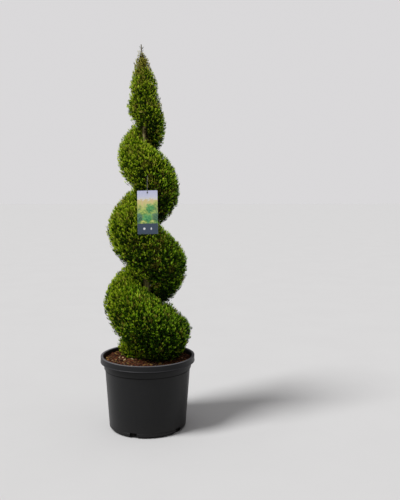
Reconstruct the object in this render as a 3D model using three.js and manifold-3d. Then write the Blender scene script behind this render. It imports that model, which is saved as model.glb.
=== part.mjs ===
// A conifer clipped to a spiral, in a round nursery pot: 1.6 m from the floor to its leading shoot.
//
// The crown is a bullet-shaped outline with a helical groove cut into it, right down to the trunk. What the
// groove leaves is one rising band of foliage that winds four and a half times round the trunk and ends in
// a plain spire. The band is divided into quarter turns, each a closed solid of its own, cut round the
// trunk that runs up inside.
//
// Millimetres, +Z up. The origin is the middle of the pot's underside and the front, where the label hangs,
// is -Y. A place along the band is its "turn". Turn 1 starts at the front left, and the band rises
// clockwise as seen from above: left, back, right, front. Whole numbers are all at the front left, one
// above the other.
import * as THREE from "three";
import { mergeVertices } from "three/addons/utils/BufferGeometryUtils.js";
import Module from "manifold-3d";

// Driving dimensions of the plant
const TOTAL_HEIGHT = 1600; // floor to the tip of the leading shoot
const CROWN_RADIUS = 177; // the clipped outline where it is widest
const WIDEST_HEIGHT = 370; // height of that place above the floor
const OUTLINE_POWER = 2.15; // how late the outline draws in above it
// Height of the hand-cut groove each time that it passes the right side and then the left. The first of
// these lies under the soil, and the last is where the groove would have come above the spire's foot.
const GROOVE_HEIGHTS = [227, 362, 519, 680, 856, 1004, 1160, 1274, 1406, 1535];
// How much of the outline's radius the groove leaves at each of those places. It is cut shallow at some of
// them, and down to the trunk in between.
const GROOVE_FLOORS = [0, 0.5, 0.6, 0, 0.33, 0, 0.42, 0, 0, 0];
// How much the band's upper edge slopes there: a high number cuts its shoulder off, a low one leaves it full.
const SHOULDER_SLOPES = [0.54, 1.1, 1.8, 0.76, 1.5, 0.62, 0.54, 0.42, 0.54, 0.54];
const USUAL_SLOPE = 0.54;
const FLOOR_REACH = 0.22; // in turns, how far along the band such a place runs out
const GROOVE_START = 1.625; // the turn of the first of them
const LOW_HALF_GAP = 7; // half the groove's height against the trunk, low in the crown
const HIGH_HALF_GAP = 12; // and where its last whole turn ends
const TAIL_TURN = 0.96; // the band's lower end
const SPIRE_TURN = 5.625; // where the groove runs out and the band becomes the spire
const FADE_TURNS = 0.5; // over which the groove gets shallower before it runs out
// The trunk winds a little and leans to the left: how far left of the pot's middle it stands at some heights
const TRUNK_HEIGHTS = [285, 500, 610, 830, 1050, 1220, 1350, 1450, 1600];
const TRUNK_LEFT = [0, 2, 5, 8.5, 3.5, 14, 12, 16.5, 26];
const WANDER = 4; // how far it winds from front to back
const DEPTH_WAVES = 4; // half waves of that winding
const TRUNK_FOOT_RADIUS = 18;
const TRUNK_TIP_RADIUS = 1.8;
const FLARE = 9; // what the roots add to the trunk's radius at the soil
const FLARE_HEIGHT = 26;

// Driving dimensions of the pot and its soil
const POT_HEIGHT = 300;
const RIM_RADIUS = 196.5;
const NECK_RADIUS = 183;
const SHOULDER_RADIUS = 177.5;
const FOOT_RADIUS = 159.5;
const POT_WALL = 3;
const POT_FLOOR = 5;
const RIM_HEIGHT = 25;
const NECK_HEIGHT = 30;
const SOIL_BELOW_RIM = 15;
const NOTCHES = 5; // drainage notches round the foot
const NOTCH_WIDTH = 30;
const NOTCH_HEIGHT = 22;
const FIRST_NOTCH_DEG = -107.5;

// Driving dimensions of the label
const LABEL_WIDTH = 81;
const LABEL_HEIGHT = 174;
const LABEL_THICKNESS = 1;
const LABEL_CORNER = 3;
const LABEL_HOLE_RADIUS = 3;
const LABEL_HOLE_BELOW_TOP = 9;
const LABEL_TOP = 990; // height of its upper edge
const LABEL_OUT = 134.5; // how far its upper edge is in front of the pot's middle
const LABEL_SIDE = 8; // how far its middle is right of the pot's middle
const LABEL_LEAN_DEG = 7.4; // its lower end stands out over the turn below
const LABEL_ROLL_DEG = -1.3; // and it hangs a little askew
const THREAD_RADIUS = 0.7;

const CLEARANCE = 0.3; // between pieces that touch
const TRUNK_CLEARANCE = 0.8; // wider, because the trunk and the band have facets at different places
const SOIL_TOP = POT_HEIGHT - SOIL_BELOW_RIM;
const FULL_TURN = 2 * Math.PI;
const START_AZIMUTH = THREE.MathUtils.degToRad(225);
const { lerp, smoothstep } = THREE.MathUtils;

// The finishes, as they look in daylight
function finish(color, roughness) {
  return new THREE.MeshStandardMaterial({ color, roughness, metalness: 0 });
}
const foliageGreen = finish(0x5d7a22, 0.75);
const spireGreen = finish(0x6b7a30, 0.75);
const barkBrown = finish(0x8a6a4a, 0.9);
const potBlack = finish(0x222325, 0.5);
const soilBrown = finish(0x4a2d1e, 0.95);
const labelPaper = finish(0xc9d6b0, 0.4);
const threadWhite = finish(0xe4e4e0, 0.5);

const plant = new THREE.Group();

function addPiece(name, geometry, material) {
  const piece = new THREE.Mesh(geometry, material);
  piece.name = name;
  plant.add(piece);
  return piece;
}

// Heights and radii that the whole plant follows

// The middle of the trunk at a height
const trunkLeft = new THREE.CubicInterpolant(TRUNK_HEIGHTS, TRUNK_LEFT, 1);
function trunkAxis(height) {
  const share = Math.max(0, (height - SOIL_TOP) / (TOTAL_HEIGHT - SOIL_TOP));
  const wander = WANDER * Math.sin(Math.PI * share);
  return new THREE.Vector2(-trunkLeft.evaluate(height)[0], wander * Math.sin(DEPTH_WAVES * share * Math.PI));
}

function trunkRadius(height) {
  const above = height - SOIL_TOP;
  const taper = lerp(TRUNK_FOOT_RADIUS, TRUNK_TIP_RADIUS, above / (TOTAL_HEIGHT - SOIL_TOP));
  return taper + FLARE * Math.exp(-above / FLARE_HEIGHT);
}

// The clipped outline: an upright bullet, full below its widest place.
function crownRadius(height) {
  const share = Math.max(0, (height - WIDEST_HEIGHT) / (TOTAL_HEIGHT - WIDEST_HEIGHT));
  return CROWN_RADIUS * (1 - share ** OUTLINE_POWER);
}

function azimuthAt(turn) {
  return START_AZIMUTH - FULL_TURN * (turn - 1);
}

const groove = new THREE.CubicInterpolant([...GROOVE_HEIGHTS.keys()], GROOVE_HEIGHTS, 1);
function grooveHeight(turn) {
  return groove.evaluate((turn - GROOVE_START) * 2)[0];
}

const SPIRE_ABOVE_GROOVE = 12;
const SPIRE_FLOOR = grooveHeight(SPIRE_TURN) + SPIRE_ABOVE_GROOVE;

// 0 where the groove is whole and 1 where it has run out into the spire
function grooveFade(turn) {
  return smoothstep(turn, SPIRE_TURN - FADE_TURNS, SPIRE_TURN);
}

// The turns between which the groove widens from its low gap to its high one
const WIDENS_FROM = 2.4;
const WIDENS_TO = 5;
function grooveHalfGap(turn) {
  const gap = lerp(LOW_HALF_GAP, HIGH_HALF_GAP, smoothstep(turn, WIDENS_FROM, WIDENS_TO));
  return lerp(gap, CLEARANCE / 2, grooveFade(turn));
}

// Clipping leaves the surface slightly uneven: two waves run along the band, aslant, each a small share of
// the radius.
const WAVES = [
  { share: 0.014, perTurn: 17, perMillimetre: 1 / 23 },
  { share: 0.01, perTurn: 31, perMillimetre: -1 / 41 },
];
function unevenness(turn, height) {
  return WAVES.reduce(
    (sum, wave) => sum + wave.share * Math.sin(wave.perTurn * turn + wave.perMillimetre * height),
    1,
  );
}

// A value at a turn, from the list of its values where the groove passes the sides and its usual one between.
function besideGroove(values, turn, usual) {
  const place = (turn - GROOVE_START) * 2;
  const nearest = Math.round(place);
  const away = Math.abs(place - nearest) / 2;
  return lerp(values[nearest] ?? usual, usual, smoothstep(away, 0, FLOOR_REACH));
}

// The share of the outline's radius that the groove leaves at a turn. The band below it keeps all of that,
// and the band above it, which is clipped from underneath, a part.
const KEPT_ABOVE = 0.6;
function grooveFloor(turn) {
  return besideGroove(GROOVE_FLOORS, turn, 0);
}

// The foliage band

// The band's foot on the soil is drawn in, most of all at the front, just before the groove lifts it.
const FOOT_WIDE = 112;
const FOOT_NARROW = 50;
const FOOT_LIFTS = 1.85; // the turn where the groove leaves the soil
const FOOT_TURNS = 0.25; // over which the foot narrows, and over which it then runs out
// The band's tail starts at a small share of the outline's radius and reaches it well before the back.
const TAIL_SHARE = 0.3;
const TAIL_TURNS = 0.36;
const THINNEST = 1; // the least foliage outside the trunk
const FULLEST = 0.11; // how far above its middle the band is fullest, as a share of its half height
const SHOULDER_POWER = 2.1; // this and the slopes shape the band's rounded edges
const UNDER_SLOPE = 0.62;
const RUNGS = 12; // points up one side of the band's section

// How full the band is, from 0 to 1, at a place from -1 at its lower edge to 1 at its upper edge
function fullness(across, upperSlope) {
  const isUpper = across > FULLEST;
  const away = isUpper ? (across - FULLEST) / (1 - FULLEST) : (FULLEST - across) / (1 + FULLEST);
  return Math.max(0, 1 - away ** SHOULDER_POWER) ** (isUpper ? upperSlope : UNDER_SLOPE);
}

// The band's section at a turn, as points of (distance from the trunk's middle, height): up the outside and
// then down the trunk at the same heights, so that each outer point has an inner one level with it.
function bandSection(turn) {
  const floor = Math.max(SOIL_TOP + CLEARANCE, grooveHeight(turn) + grooveHalfGap(turn));
  const ceiling = Math.min(
    grooveHeight(turn + 1) - grooveHalfGap(turn + 1),
    SPIRE_FLOOR - CLEARANCE / 2,
  );
  const inner = (height) => trunkRadius(height) + TRUNK_CLEARANCE;
  const drawnIn = lerp(TAIL_SHARE, 1, smoothstep(turn, TAIL_TURN, TAIL_TURN + TAIL_TURNS));
  const onSoil = 1 - smoothstep(turn, FOOT_LIFTS, FOOT_LIFTS + FOOT_TURNS);
  const foot = lerp(FOOT_WIDE, FOOT_NARROW, smoothstep(turn, FOOT_LIFTS - FOOT_TURNS, FOOT_LIFTS));
  const lowEdge = Math.max(
    onSoil * foot * drawnIn,
    Math.max(grooveFade(turn), KEPT_ABOVE * grooveFloor(turn)) * crownRadius(floor),
    inner(floor) + THINNEST,
  );
  const highEdge = Math.max(
    Math.max(grooveFade(turn + 1), grooveFloor(turn + 1) * drawnIn) * crownRadius(ceiling),
    inner(ceiling) + THINNEST,
  );
  const upperSlope = besideGroove(SHOULDER_SLOPES, turn + 1, USUAL_SLOPE);
  const outside = [];
  const inside = [];
  for (let i = 0; i < RUNGS; i++) {
    // Evenly spaced angles keep the rounded edges as fine as the middle.
    const across = -Math.cos((Math.PI * i) / (RUNGS - 1));
    const height = lerp(floor, ceiling, (across + 1) / 2);
    const edge = lerp(lowEdge, highEdge, (across + 1) / 2);
    const full = crownRadius(height) * drawnIn * unevenness(turn, height);
    outside.push(new THREE.Vector2(Math.max(edge, lerp(edge, full, fullness(across, upperSlope))), height));
    inside.unshift(new THREE.Vector2(inner(height), height));
  }
  return [...outside, ...inside];
}

// A point of a section, placed round the trunk's own middle and moved along the band by a small shift.
function placed(point, turn, shift) {
  const azimuth = azimuthAt(turn);
  const axis = trunkAxis(point.y);
  return new THREE.Vector3(
    axis.x + point.x * Math.cos(azimuth) + shift * Math.sin(azimuth),
    axis.y + point.x * Math.sin(azimuth) - shift * Math.cos(azimuth),
    point.y,
  );
}

// The triangles that join each of a row of like rings of points to the one after it. With a loop the last
// ring is joined to the first too.
function wallTriangles(rings, loop) {
  const count = rings[0].length;
  const indices = [];
  for (let i = 0; i < rings.length - (loop ? 0 : 1); i++) {
    const next = (i + 1) % rings.length;
    for (let j = 0; j < count; j++) {
      const along = (j + 1) % count;
      const [a, b] = [i * count + j, i * count + along];
      const [c, d] = [next * count + j, next * count + along];
      indices.push(a, b, c, b, d, c);
    }
  }
  return indices;
}

function ringGeometry(rings, indices) {
  const positions = rings.flat().flatMap((p) => [p.x, p.y, p.z]);
  const geometry = new THREE.BufferGeometry();
  geometry.setAttribute("position", new THREE.Float32BufferAttribute(positions, 3));
  geometry.setIndex(indices);
  return geometry;
}

// The solid that joins a row of rings. Each end is closed by level strips from one side of the ring to the
// other, so that two pieces which share a curved end meet all over it.
function skin(rings) {
  const count = rings[0].length;
  const indices = wallTriangles(rings, false);
  const last = (rings.length - 1) * count;
  for (let i = 0; i + 1 < count / 2; i++) {
    const [a, b, c, d] = [i, i + 1, count - 2 - i, count - 1 - i];
    indices.push(a, c, b, a, d, c);
    indices.push(last + a, last + b, last + c, last + a, last + c, last + d);
  }
  return ringGeometry(rings, indices);
}

const STEPS_PER_QUARTER = 5;

function bandPiece(from, to) {
  const steps = Math.max(3, Math.round((to - from) * 4 * STEPS_PER_QUARTER));
  const rings = [];
  for (let i = 0; i <= steps; i++) {
    const turn = lerp(from, to, i / steps);
    const shift = i === 0 ? CLEARANCE / 2 : i === steps ? -CLEARANCE / 2 : 0;
    rings.push(bandSection(turn).map((point) => placed(point, turn, shift)));
  }
  return skin(rings);
}

const SIDES = ["left", "back", "right", "front"];

function makeBand() {
  for (let quarter = 0; 1 + quarter / 4 < SPIRE_TURN; quarter++) {
    const from = quarter === 0 ? TAIL_TURN : 1 + quarter / 4;
    const to = Math.min(SPIRE_TURN, 1 + (quarter + 1) / 4);
    const name = `turn_${1 + Math.floor(quarter / 4)}_${SIDES[quarter % 4]}`;
    addPiece(name, bandPiece(from, to), foliageGreen);
  }
}

// The spire and the trunk, both stacks of rings round the trunk's middle

function ringAt(height, radius, sides) {
  const axis = trunkAxis(height);
  return Array.from({ length: sides }, (_, i) => {
    const angle = (FULL_TURN * i) / sides;
    return new THREE.Vector3(
      axis.x + radius * Math.cos(angle),
      axis.y + radius * Math.sin(angle),
      height,
    );
  });
}

const SPIRE_SIDES = 18;
const SPIRE_STEPS = 9;
const BARE_SHOOT = 22; // what of the leading shoot stands clear of the spire
const SPIRE_TOP = TOTAL_HEIGHT - BARE_SHOOT;
const SPIRE_FULLER = 4; // what the unclipped spire adds to the outline's radius

// The spire is open round the trunk: its skin goes up the outside and comes down the inside.
function makeSpire() {
  const rings = [];
  for (let i = 0; i <= SPIRE_STEPS; i++) {
    const height = lerp(SPIRE_FLOOR + CLEARANCE / 2, SPIRE_TOP, i / SPIRE_STEPS);
    const radius = crownRadius(height) * unevenness(SPIRE_TURN, height) + SPIRE_FULLER;
    rings.push(ringAt(height, radius, SPIRE_SIDES));
  }
  for (let i = SPIRE_STEPS; i >= 0; i--) {
    const height = lerp(SPIRE_FLOOR + CLEARANCE / 2, SPIRE_TOP, i / SPIRE_STEPS);
    rings.push(ringAt(height, trunkRadius(height) + TRUNK_CLEARANCE, SPIRE_SIDES));
  }
  addPiece("spire", ringGeometry(rings, wallTriangles(rings, true)), spireGreen);
}

const TRUNK_SIDES = 14;
const TRUNK_STEPS = 26;
const TRUNK_CROWDING = 1.6; // rings crowd together at the foot, where the flare bends fastest

function makeTrunk() {
  const rings = [];
  for (let i = 0; i <= TRUNK_STEPS; i++) {
    const share = Math.pow(i / TRUNK_STEPS, TRUNK_CROWDING);
    const height = lerp(SOIL_TOP + CLEARANCE, TOTAL_HEIGHT, share);
    rings.push(ringAt(height, trunkRadius(height), TRUNK_SIDES));
  }
  addPiece("trunk", skin(rings), barkBrown);
}

// The pot, turned about its middle, with notches cut through the corner of its foot

const wasm = await Module();
wasm.setup();

function solidOf(geometry) {
  const bare = geometry.clone();
  bare.deleteAttribute("normal");
  bare.deleteAttribute("uv");
  const merged = mergeVertices(bare, 1e-3);
  return new wasm.Manifold(
    new wasm.Mesh({
      numProp: 3,
      vertProperties: new Float32Array(merged.attributes.position.array),
      triVerts: new Uint32Array(merged.index.array),
    }),
  );
}

function geometryOf(solid) {
  const mesh = solid.getMesh();
  const geometry = new THREE.BufferGeometry();
  geometry.setAttribute("position", new THREE.BufferAttribute(mesh.vertProperties, 3));
  geometry.setIndex(new THREE.BufferAttribute(mesh.triVerts, 1));
  return geometry;
}

// A profile of [radius, height] pairs that goes up the outside and ends on the axis, turned about +Z
const POT_SEGMENTS = 44;
function turned(profile) {
  const points = profile.map(([radius, height]) => new THREE.Vector2(radius, height));
  return new THREE.LatheGeometry(points, POT_SEGMENTS).rotateX(Math.PI / 2);
}

const FOOT_LEDGE = 9; // height of the step above the foot
const FOOT_INSET = 5; // how far the foot stands in from the wall
const FOOT_CHAMFER = 4;
const FOOT_INSIDE = 15; // height where the floor's inner corner meets the wall
const RIM_BOTTOM = POT_HEIGHT - RIM_HEIGHT;
const RIM_ROUNDING = 2;
const NECK_BOTTOM = RIM_BOTTOM - NECK_HEIGHT;
const NECK_STEP = 5; // height of the slope between shoulder and neck
const NECK_FLARE = 1; // how much wider the neck is at the rim than at its foot
const NECK_FOOT_RADIUS = NECK_RADIUS - NECK_FLARE;
const NOTCH_DEPTH = 24; // of the block that cuts a notch through the wall and the floor's edge

function wallInside(height) {
  const share = (height - FOOT_LEDGE) / (NECK_BOTTOM - FOOT_LEDGE);
  return lerp(FOOT_RADIUS, SHOULDER_RADIUS, share) - POT_WALL;
}

// The rim is a skirt turned down outside the neck, with a slot between the two.
function makePot() {
  const footRadius = FOOT_RADIUS - FOOT_INSET;
  const rimUnderside = POT_HEIGHT - POT_WALL;
  const profile = [
    [0, 0],
    [footRadius - FOOT_CHAMFER, 0],
    [footRadius, FOOT_CHAMFER],
    [footRadius, FOOT_LEDGE - 1],
    [FOOT_RADIUS, FOOT_LEDGE],
    [SHOULDER_RADIUS, NECK_BOTTOM],
    [NECK_FOOT_RADIUS, NECK_BOTTOM + NECK_STEP],
    [NECK_RADIUS, RIM_BOTTOM],
    [NECK_RADIUS, rimUnderside],
    [RIM_RADIUS - POT_WALL, rimUnderside],
    [RIM_RADIUS - POT_WALL, RIM_BOTTOM],
    [RIM_RADIUS, RIM_BOTTOM],
    [RIM_RADIUS, POT_HEIGHT - RIM_ROUNDING],
    [RIM_RADIUS - RIM_ROUNDING, POT_HEIGHT],
    [NECK_RADIUS, POT_HEIGHT],
    [NECK_RADIUS - RIM_ROUNDING, POT_HEIGHT - RIM_ROUNDING],
    [NECK_RADIUS - POT_WALL, RIM_BOTTOM],
    [NECK_FOOT_RADIUS - POT_WALL, NECK_BOTTOM + NECK_STEP],
    [wallInside(NECK_BOTTOM), NECK_BOTTOM],
    [wallInside(FOOT_INSIDE), FOOT_INSIDE],
    [footRadius - POT_WALL - 3, POT_FLOOR],
    [0, POT_FLOOR],
  ];
  const notches = Array.from({ length: NOTCHES }, (_, i) => {
    const angle = THREE.MathUtils.degToRad(FIRST_NOTCH_DEG) + (FULL_TURN * i) / NOTCHES;
    const block = new THREE.BoxGeometry(NOTCH_DEPTH, NOTCH_WIDTH, 2 * NOTCH_HEIGHT);
    return solidOf(block.translate(FOOT_RADIUS, 0, 0).rotateZ(angle));
  });
  const pot = notches.reduce((rest, notch) => rest.subtract(notch), solidOf(turned(profile)));
  addPiece("pot", geometryOf(pot), potBlack);
}

// The soil fills the pot from its floor to a little below the rim, a small gap inside its wall.
function makeSoil() {
  const neckFoot = NECK_FOOT_RADIUS - POT_WALL - CLEARANCE;
  const profile = [
    [0, POT_FLOOR + CLEARANCE],
    [FOOT_RADIUS - FOOT_INSET - POT_WALL - 4, POT_FLOOR + CLEARANCE],
    [wallInside(FOOT_INSIDE) - 1, FOOT_INSIDE],
    [wallInside(NECK_BOTTOM) - CLEARANCE, NECK_BOTTOM],
    [neckFoot, NECK_BOTTOM + NECK_STEP],
    [neckFoot + NECK_FLARE / 2, SOIL_TOP - NECK_STEP],
    [neckFoot + NECK_FLARE / 2, SOIL_TOP],
    [0, SOIL_TOP],
  ];
  addPiece("soil", turned(profile), soilBrown);
}

// The label, a stiff card with one hole, and the loop of thread that it hangs on

function labelFrame() {
  const frame = new THREE.Object3D();
  frame.position.set(LABEL_SIDE, -LABEL_OUT, LABEL_TOP);
  frame.rotation.order = "YXZ";
  frame.rotation.x = THREE.MathUtils.degToRad(-LABEL_LEAN_DEG);
  frame.rotation.y = THREE.MathUtils.degToRad(LABEL_ROLL_DEG);
  return frame;
}

const HOLE_SIDES = 16;

// In its own frame the card hangs down from the origin, in the XZ plane, with its face towards -Y.
function makeLabel() {
  const side = LABEL_WIDTH / 2 - LABEL_CORNER;
  const top = -LABEL_CORNER;
  const bottom = LABEL_CORNER - LABEL_HEIGHT;
  const quarter = Math.PI / 2;
  const outline = new THREE.Shape();
  outline.absarc(side, top, LABEL_CORNER, quarter, 0, true);
  outline.absarc(side, bottom, LABEL_CORNER, 0, -quarter, true);
  outline.absarc(-side, bottom, LABEL_CORNER, -quarter, -2 * quarter, true);
  outline.absarc(-side, top, LABEL_CORNER, 2 * quarter, quarter, true);
  const rim = ringAt(0, LABEL_HOLE_RADIUS, HOLE_SIDES).map(
    (p) => new THREE.Vector2(p.x, p.y - LABEL_HOLE_BELOW_TOP),
  );
  outline.holes.push(new THREE.Path(rim));
  const card = new THREE.ExtrudeGeometry(outline, {
    depth: LABEL_THICKNESS,
    bevelEnabled: false,
    curveSegments: 5,
  });
  card.rotateX(Math.PI / 2).translate(0, LABEL_THICKNESS / 2, 0);
  const frame = labelFrame();
  frame.add(addPiece("label", card, labelPaper));
  plant.add(frame);
}

// The thread comes out of the foliage, down in front of the card, through the top of its hole and back up
// behind it.
const THREAD_TOP = 1050;
const THREAD_OUT = 118.4; // how far its upper ends are in front of the pot's middle
const THREAD_SIDE = 7.5; // and how far right of it
const THREAD_SIDES = 8;
const STEPS_PER_SPAN = 3;

function threadRing(point, tangent) {
  const side = new THREE.Vector3(1, 0, 0).projectOnPlane(tangent).normalize();
  const front = new THREE.Vector3().crossVectors(tangent, side);
  return Array.from({ length: THREAD_SIDES }, (_, i) => {
    const angle = (FULL_TURN * i) / THREAD_SIDES;
    return point
      .clone()
      .addScaledVector(side, THREAD_RADIUS * Math.cos(angle))
      .addScaledVector(front, THREAD_RADIUS * Math.sin(angle));
  });
}

function makeThread() {
  const frame = labelFrame();
  frame.updateMatrixWorld(true);
  // The bend through the hole, in the card's own frame as [how far behind the card's middle, height]. It
  // rounds the hole's top edge, as close as touching pieces come.
  const reach = LABEL_THICKNESS / 2 + CLEARANCE + THREAD_RADIUS;
  const holeTop = LABEL_HOLE_RADIUS - LABEL_HOLE_BELOW_TOP;
  const behind = [
    [reach + 0.1, 2],
    [reach + 0.1, holeTop + 0.6],
    [reach - 0.2, holeTop - 0.65],
  ];
  const inFront = behind.map(([depth, height]) => [-depth, height]);
  const lowest = [0, holeTop - CLEARANCE - THREAD_RADIUS];
  const bend = [...inFront, lowest, ...behind.toReversed()].map(([depth, height]) =>
    new THREE.Vector3(0, depth, height).applyMatrix4(frame.matrixWorld),
  );
  const route = new THREE.CatmullRomCurve3(
    [
      new THREE.Vector3(THREAD_SIDE - 1.2, -THREAD_OUT, THREAD_TOP),
      ...bend,
      new THREE.Vector3(THREAD_SIDE + 1.2, -THREAD_OUT, THREAD_TOP),
    ],
    false,
    "centripetal",
  );
  const steps = (route.points.length - 1) * STEPS_PER_SPAN;
  const rings = [];
  for (let i = 0; i <= steps; i++) {
    rings.push(threadRing(route.getPoint(i / steps), route.getTangent(i / steps)));
  }
  addPiece("label_thread", skin(rings), threadWhite);
}

makePot();
makeSoil();
makeTrunk();
makeBand();
makeSpire();
makeLabel();
makeThread();

export default plant;
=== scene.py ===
# %% [markdown]
# A spiral topiary in its nursery pot.
#
# The real plant is a slow conifer with flat, scaly sprays, grown as a column and cut by hand into a band
# that winds round its trunk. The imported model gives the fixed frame: stem, quarter turns of the band, spire,
# pot, soil and label as plain solids. A finished piece takes the place of each. The solids' skins say where
# the shears have passed, and boughs, twigs and sprays grow out to them from the trunk.

# %% The fixed frame
import math
from contextlib import contextmanager
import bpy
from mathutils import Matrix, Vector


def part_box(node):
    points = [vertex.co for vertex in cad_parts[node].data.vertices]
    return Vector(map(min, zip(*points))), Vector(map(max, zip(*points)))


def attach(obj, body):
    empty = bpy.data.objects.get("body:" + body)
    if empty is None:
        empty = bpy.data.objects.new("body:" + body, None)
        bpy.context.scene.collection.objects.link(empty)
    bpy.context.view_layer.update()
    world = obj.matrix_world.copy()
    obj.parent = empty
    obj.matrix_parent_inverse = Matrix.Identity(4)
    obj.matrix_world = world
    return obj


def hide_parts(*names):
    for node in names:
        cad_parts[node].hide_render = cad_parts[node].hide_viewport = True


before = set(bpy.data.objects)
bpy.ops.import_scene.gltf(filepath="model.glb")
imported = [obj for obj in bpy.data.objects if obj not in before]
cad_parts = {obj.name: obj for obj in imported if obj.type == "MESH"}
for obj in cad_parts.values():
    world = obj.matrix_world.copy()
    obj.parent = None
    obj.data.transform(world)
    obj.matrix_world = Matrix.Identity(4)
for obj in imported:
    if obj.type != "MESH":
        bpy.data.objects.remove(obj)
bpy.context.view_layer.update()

from types import SimpleNamespace

import bmesh
import bpy
import numpy as np
from mathutils import Matrix, Vector, noise
from mathutils.kdtree import KDTree

# %% [markdown]
# The camera stands about chest high in front of the plant and a little to its right, nearly level. Its view
# is moved down, as by the lowered lens of a view camera. Tilting it down would show as much, but upright
# edges would lean together, and the pot would look narrower than it is.

# %% Camera
IMAGE_HEIGHT = 500
FOCAL_PIXELS = 655.7
EYE = (0.1914, -2.7528, 0.9983)
TILT_DOWN = math.radians(1.009)
TURN_RIGHT = math.radians(0.592)
SHIFT_DOWN = 0.1  # in widths of the sensor


def put(name, data):
    """A new object in the scene."""
    made = bpy.data.objects.new(name, data)
    bpy.context.scene.collection.objects.link(made)
    return made


camera_data = bpy.data.cameras.new("camera")
camera_data.sensor_width = 36
camera_data.lens = FOCAL_PIXELS / IMAGE_HEIGHT * camera_data.sensor_width
camera_data.shift_y = -SHIFT_DOWN
camera = put("camera", camera_data)
camera.location = EYE
camera.rotation_euler = (math.pi / 2 - TILT_DOWN, 0, -TURN_RIGHT)
bpy.context.scene.camera = camera
print("lens", round(camera_data.lens, 2), "mm")

# %% [markdown]
# Shader and geometry maths is easier to read as an expression than as a list of nodes and links. One small
# class stands for a node's output and overloads the operators, so that 1 - mask adds its Math node by itself.
# A second class holds a node tree and makes any node from its type, its settings and its sockets.

# %% Nodes as expressions
class Value:
    """A node's output in an expression. Each operator adds the Math node that does it."""

    def __init__(self, tree, socket):
        self.tree = tree
        self.socket = socket

    def __add__(self, other):
        return self.tree.math("ADD", self, other)

    def __sub__(self, other):
        return self.tree.math("SUBTRACT", self, other)

    def __rsub__(self, other):
        return self.tree.math("SUBTRACT", other, self)

    def __mul__(self, other):
        return self.tree.math("MULTIPLY", self, other)

    def __truediv__(self, other):
        return self.tree.math("DIVIDE", self, other)

    def __rtruediv__(self, other):
        return self.tree.math("DIVIDE", other, self)

    __radd__ = __add__
    __rmul__ = __mul__


def pick(sockets, key):
    """A socket by its number, or the one in use with that name."""
    if isinstance(key, int):
        return sockets[key]
    return next(socket for socket in sockets if socket.name == key and socket.enabled)


def set_stops(ramp, stops):
    """Sets a ramp's stops from pairs of a place and a grey or a colour."""
    while len(ramp.elements) < len(stops):
        ramp.elements.new(1)
    for element, (place, colour) in zip(ramp.elements, stops):
        element.position = place
        element.color = (*colour, 1) if isinstance(colour, tuple) else (colour, colour, colour, 1)


class Tree:
    """A node tree under construction."""

    def __init__(self, node_tree):
        self.nodes = node_tree.nodes
        self.links = node_tree.links

    def feed(self, socket, value):
        if isinstance(value, Value):
            self.links.new(value.socket, socket)
        else:
            socket.default_value = value

    def node(self, kind, inputs=(), output=0, **settings):
        """Any node, by its type, what its sockets get and its settings. A ramp's stops are a setting."""
        made = self.nodes.new(kind)
        for name, value in settings.items():
            if name == "stops":
                set_stops(made.color_ramp, value)
            else:
                setattr(made, name, value)
        for key, value in dict(inputs).items():
            self.feed(pick(made.inputs, key), value)
        return Value(self, pick(made.outputs, output))

    def math(self, operation, first, second=0.0):
        return self.node("ShaderNodeMath", {0: first, 1: second}, operation=operation)

    def part(self, vector, axis):
        return self.node("ShaderNodeSeparateXYZ", {"Vector": vector}, axis)

    def fade(self, value, low, high, least=0.0, most=1.0):
        """Least where the value is low, most where it is high, and an even ramp between them."""
        inputs = {"Value": value, "From Min": low, "From Max": high, "To Min": least, "To Max": most}
        return self.node("ShaderNodeMapRange", inputs)


# %% [markdown]
# A finish is one Principled shader. What is the same all over goes straight on its sockets. What varies is an
# expression, and only feeds colour, roughness or relief, because those are what a texture bake can keep.

# %% Finishes
class Finish(Tree):
    """A material with one Principled shader, and the few recipes that most finishes share."""

    def __init__(self, name, **constants):
        self.material = bpy.data.materials.new(name)
        self.material.use_nodes = True
        super().__init__(self.material.node_tree)
        self.shader = self.nodes["Principled BSDF"]
        self.drive(**constants)

    def drive(self, **inputs):
        for words, value in inputs.items():
            self.feed(self.shader.inputs[words.replace("_", " ")], value)

    def place(self, scale=(1, 1, 1)):
        """Object coordinates in metres, stretched or squeezed along the axes."""
        where = self.node("ShaderNodeTexCoord", output="Object")
        return self.node("ShaderNodeMapping", {"Vector": where, "Scale": scale})

    def height(self):
        return self.part(self.place(), "Z")

    def noise(self, scale, detail=3.0, rough=0.5, where=None):
        """Cloudy noise from 0 to 1, with scale blobs to the metre."""
        inputs = {"Vector": where or self.place(), "Scale": scale, "Detail": detail, "Roughness": rough}
        return self.node("ShaderNodeTexNoise", inputs)

    def ramp(self, value, *stops):
        return self.node("ShaderNodeValToRGB", {0: value}, "Color", stops=stops)

    def mix(self, mask, first, second):
        """The first colour where the mask is 0 and the second where it is 1."""
        colours = [(*colour, 1.0) if isinstance(colour, tuple) else colour for colour in (first, second)]
        inputs = {"Factor": mask, "A": colours[0], "B": colours[1]}
        return self.node("ShaderNodeMix", inputs, "Result", data_type="RGBA")

    def relief(self, height, distance, strength=1.0):
        inputs = {"Height": height, "Distance": distance, "Strength": strength}
        self.drive(Normal=self.node("ShaderNodeBump", inputs, "Normal"))


def plain_finish(name, colour, roughness, specular):
    """A finish of one colour, for small things whose variety comes from many tints side by side."""
    constants = {"Base_Color": (*colour, 1.0), "Roughness": roughness, "Specular_IOR_Level": specular}
    return Finish(name, **constants).material


def fine_finish(name, scale, detail, first, second, roughness, specular):
    """A finish of two near colours in a fine grain, which is also its relief."""
    finish = Finish(name, Roughness=roughness, Specular_IOR_Level=specular)
    grain = finish.noise(scale, detail)
    finish.drive(Base_Color=finish.mix(grain, first, second))
    finish.relief(grain, 0.00003)
    return finish.material


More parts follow.
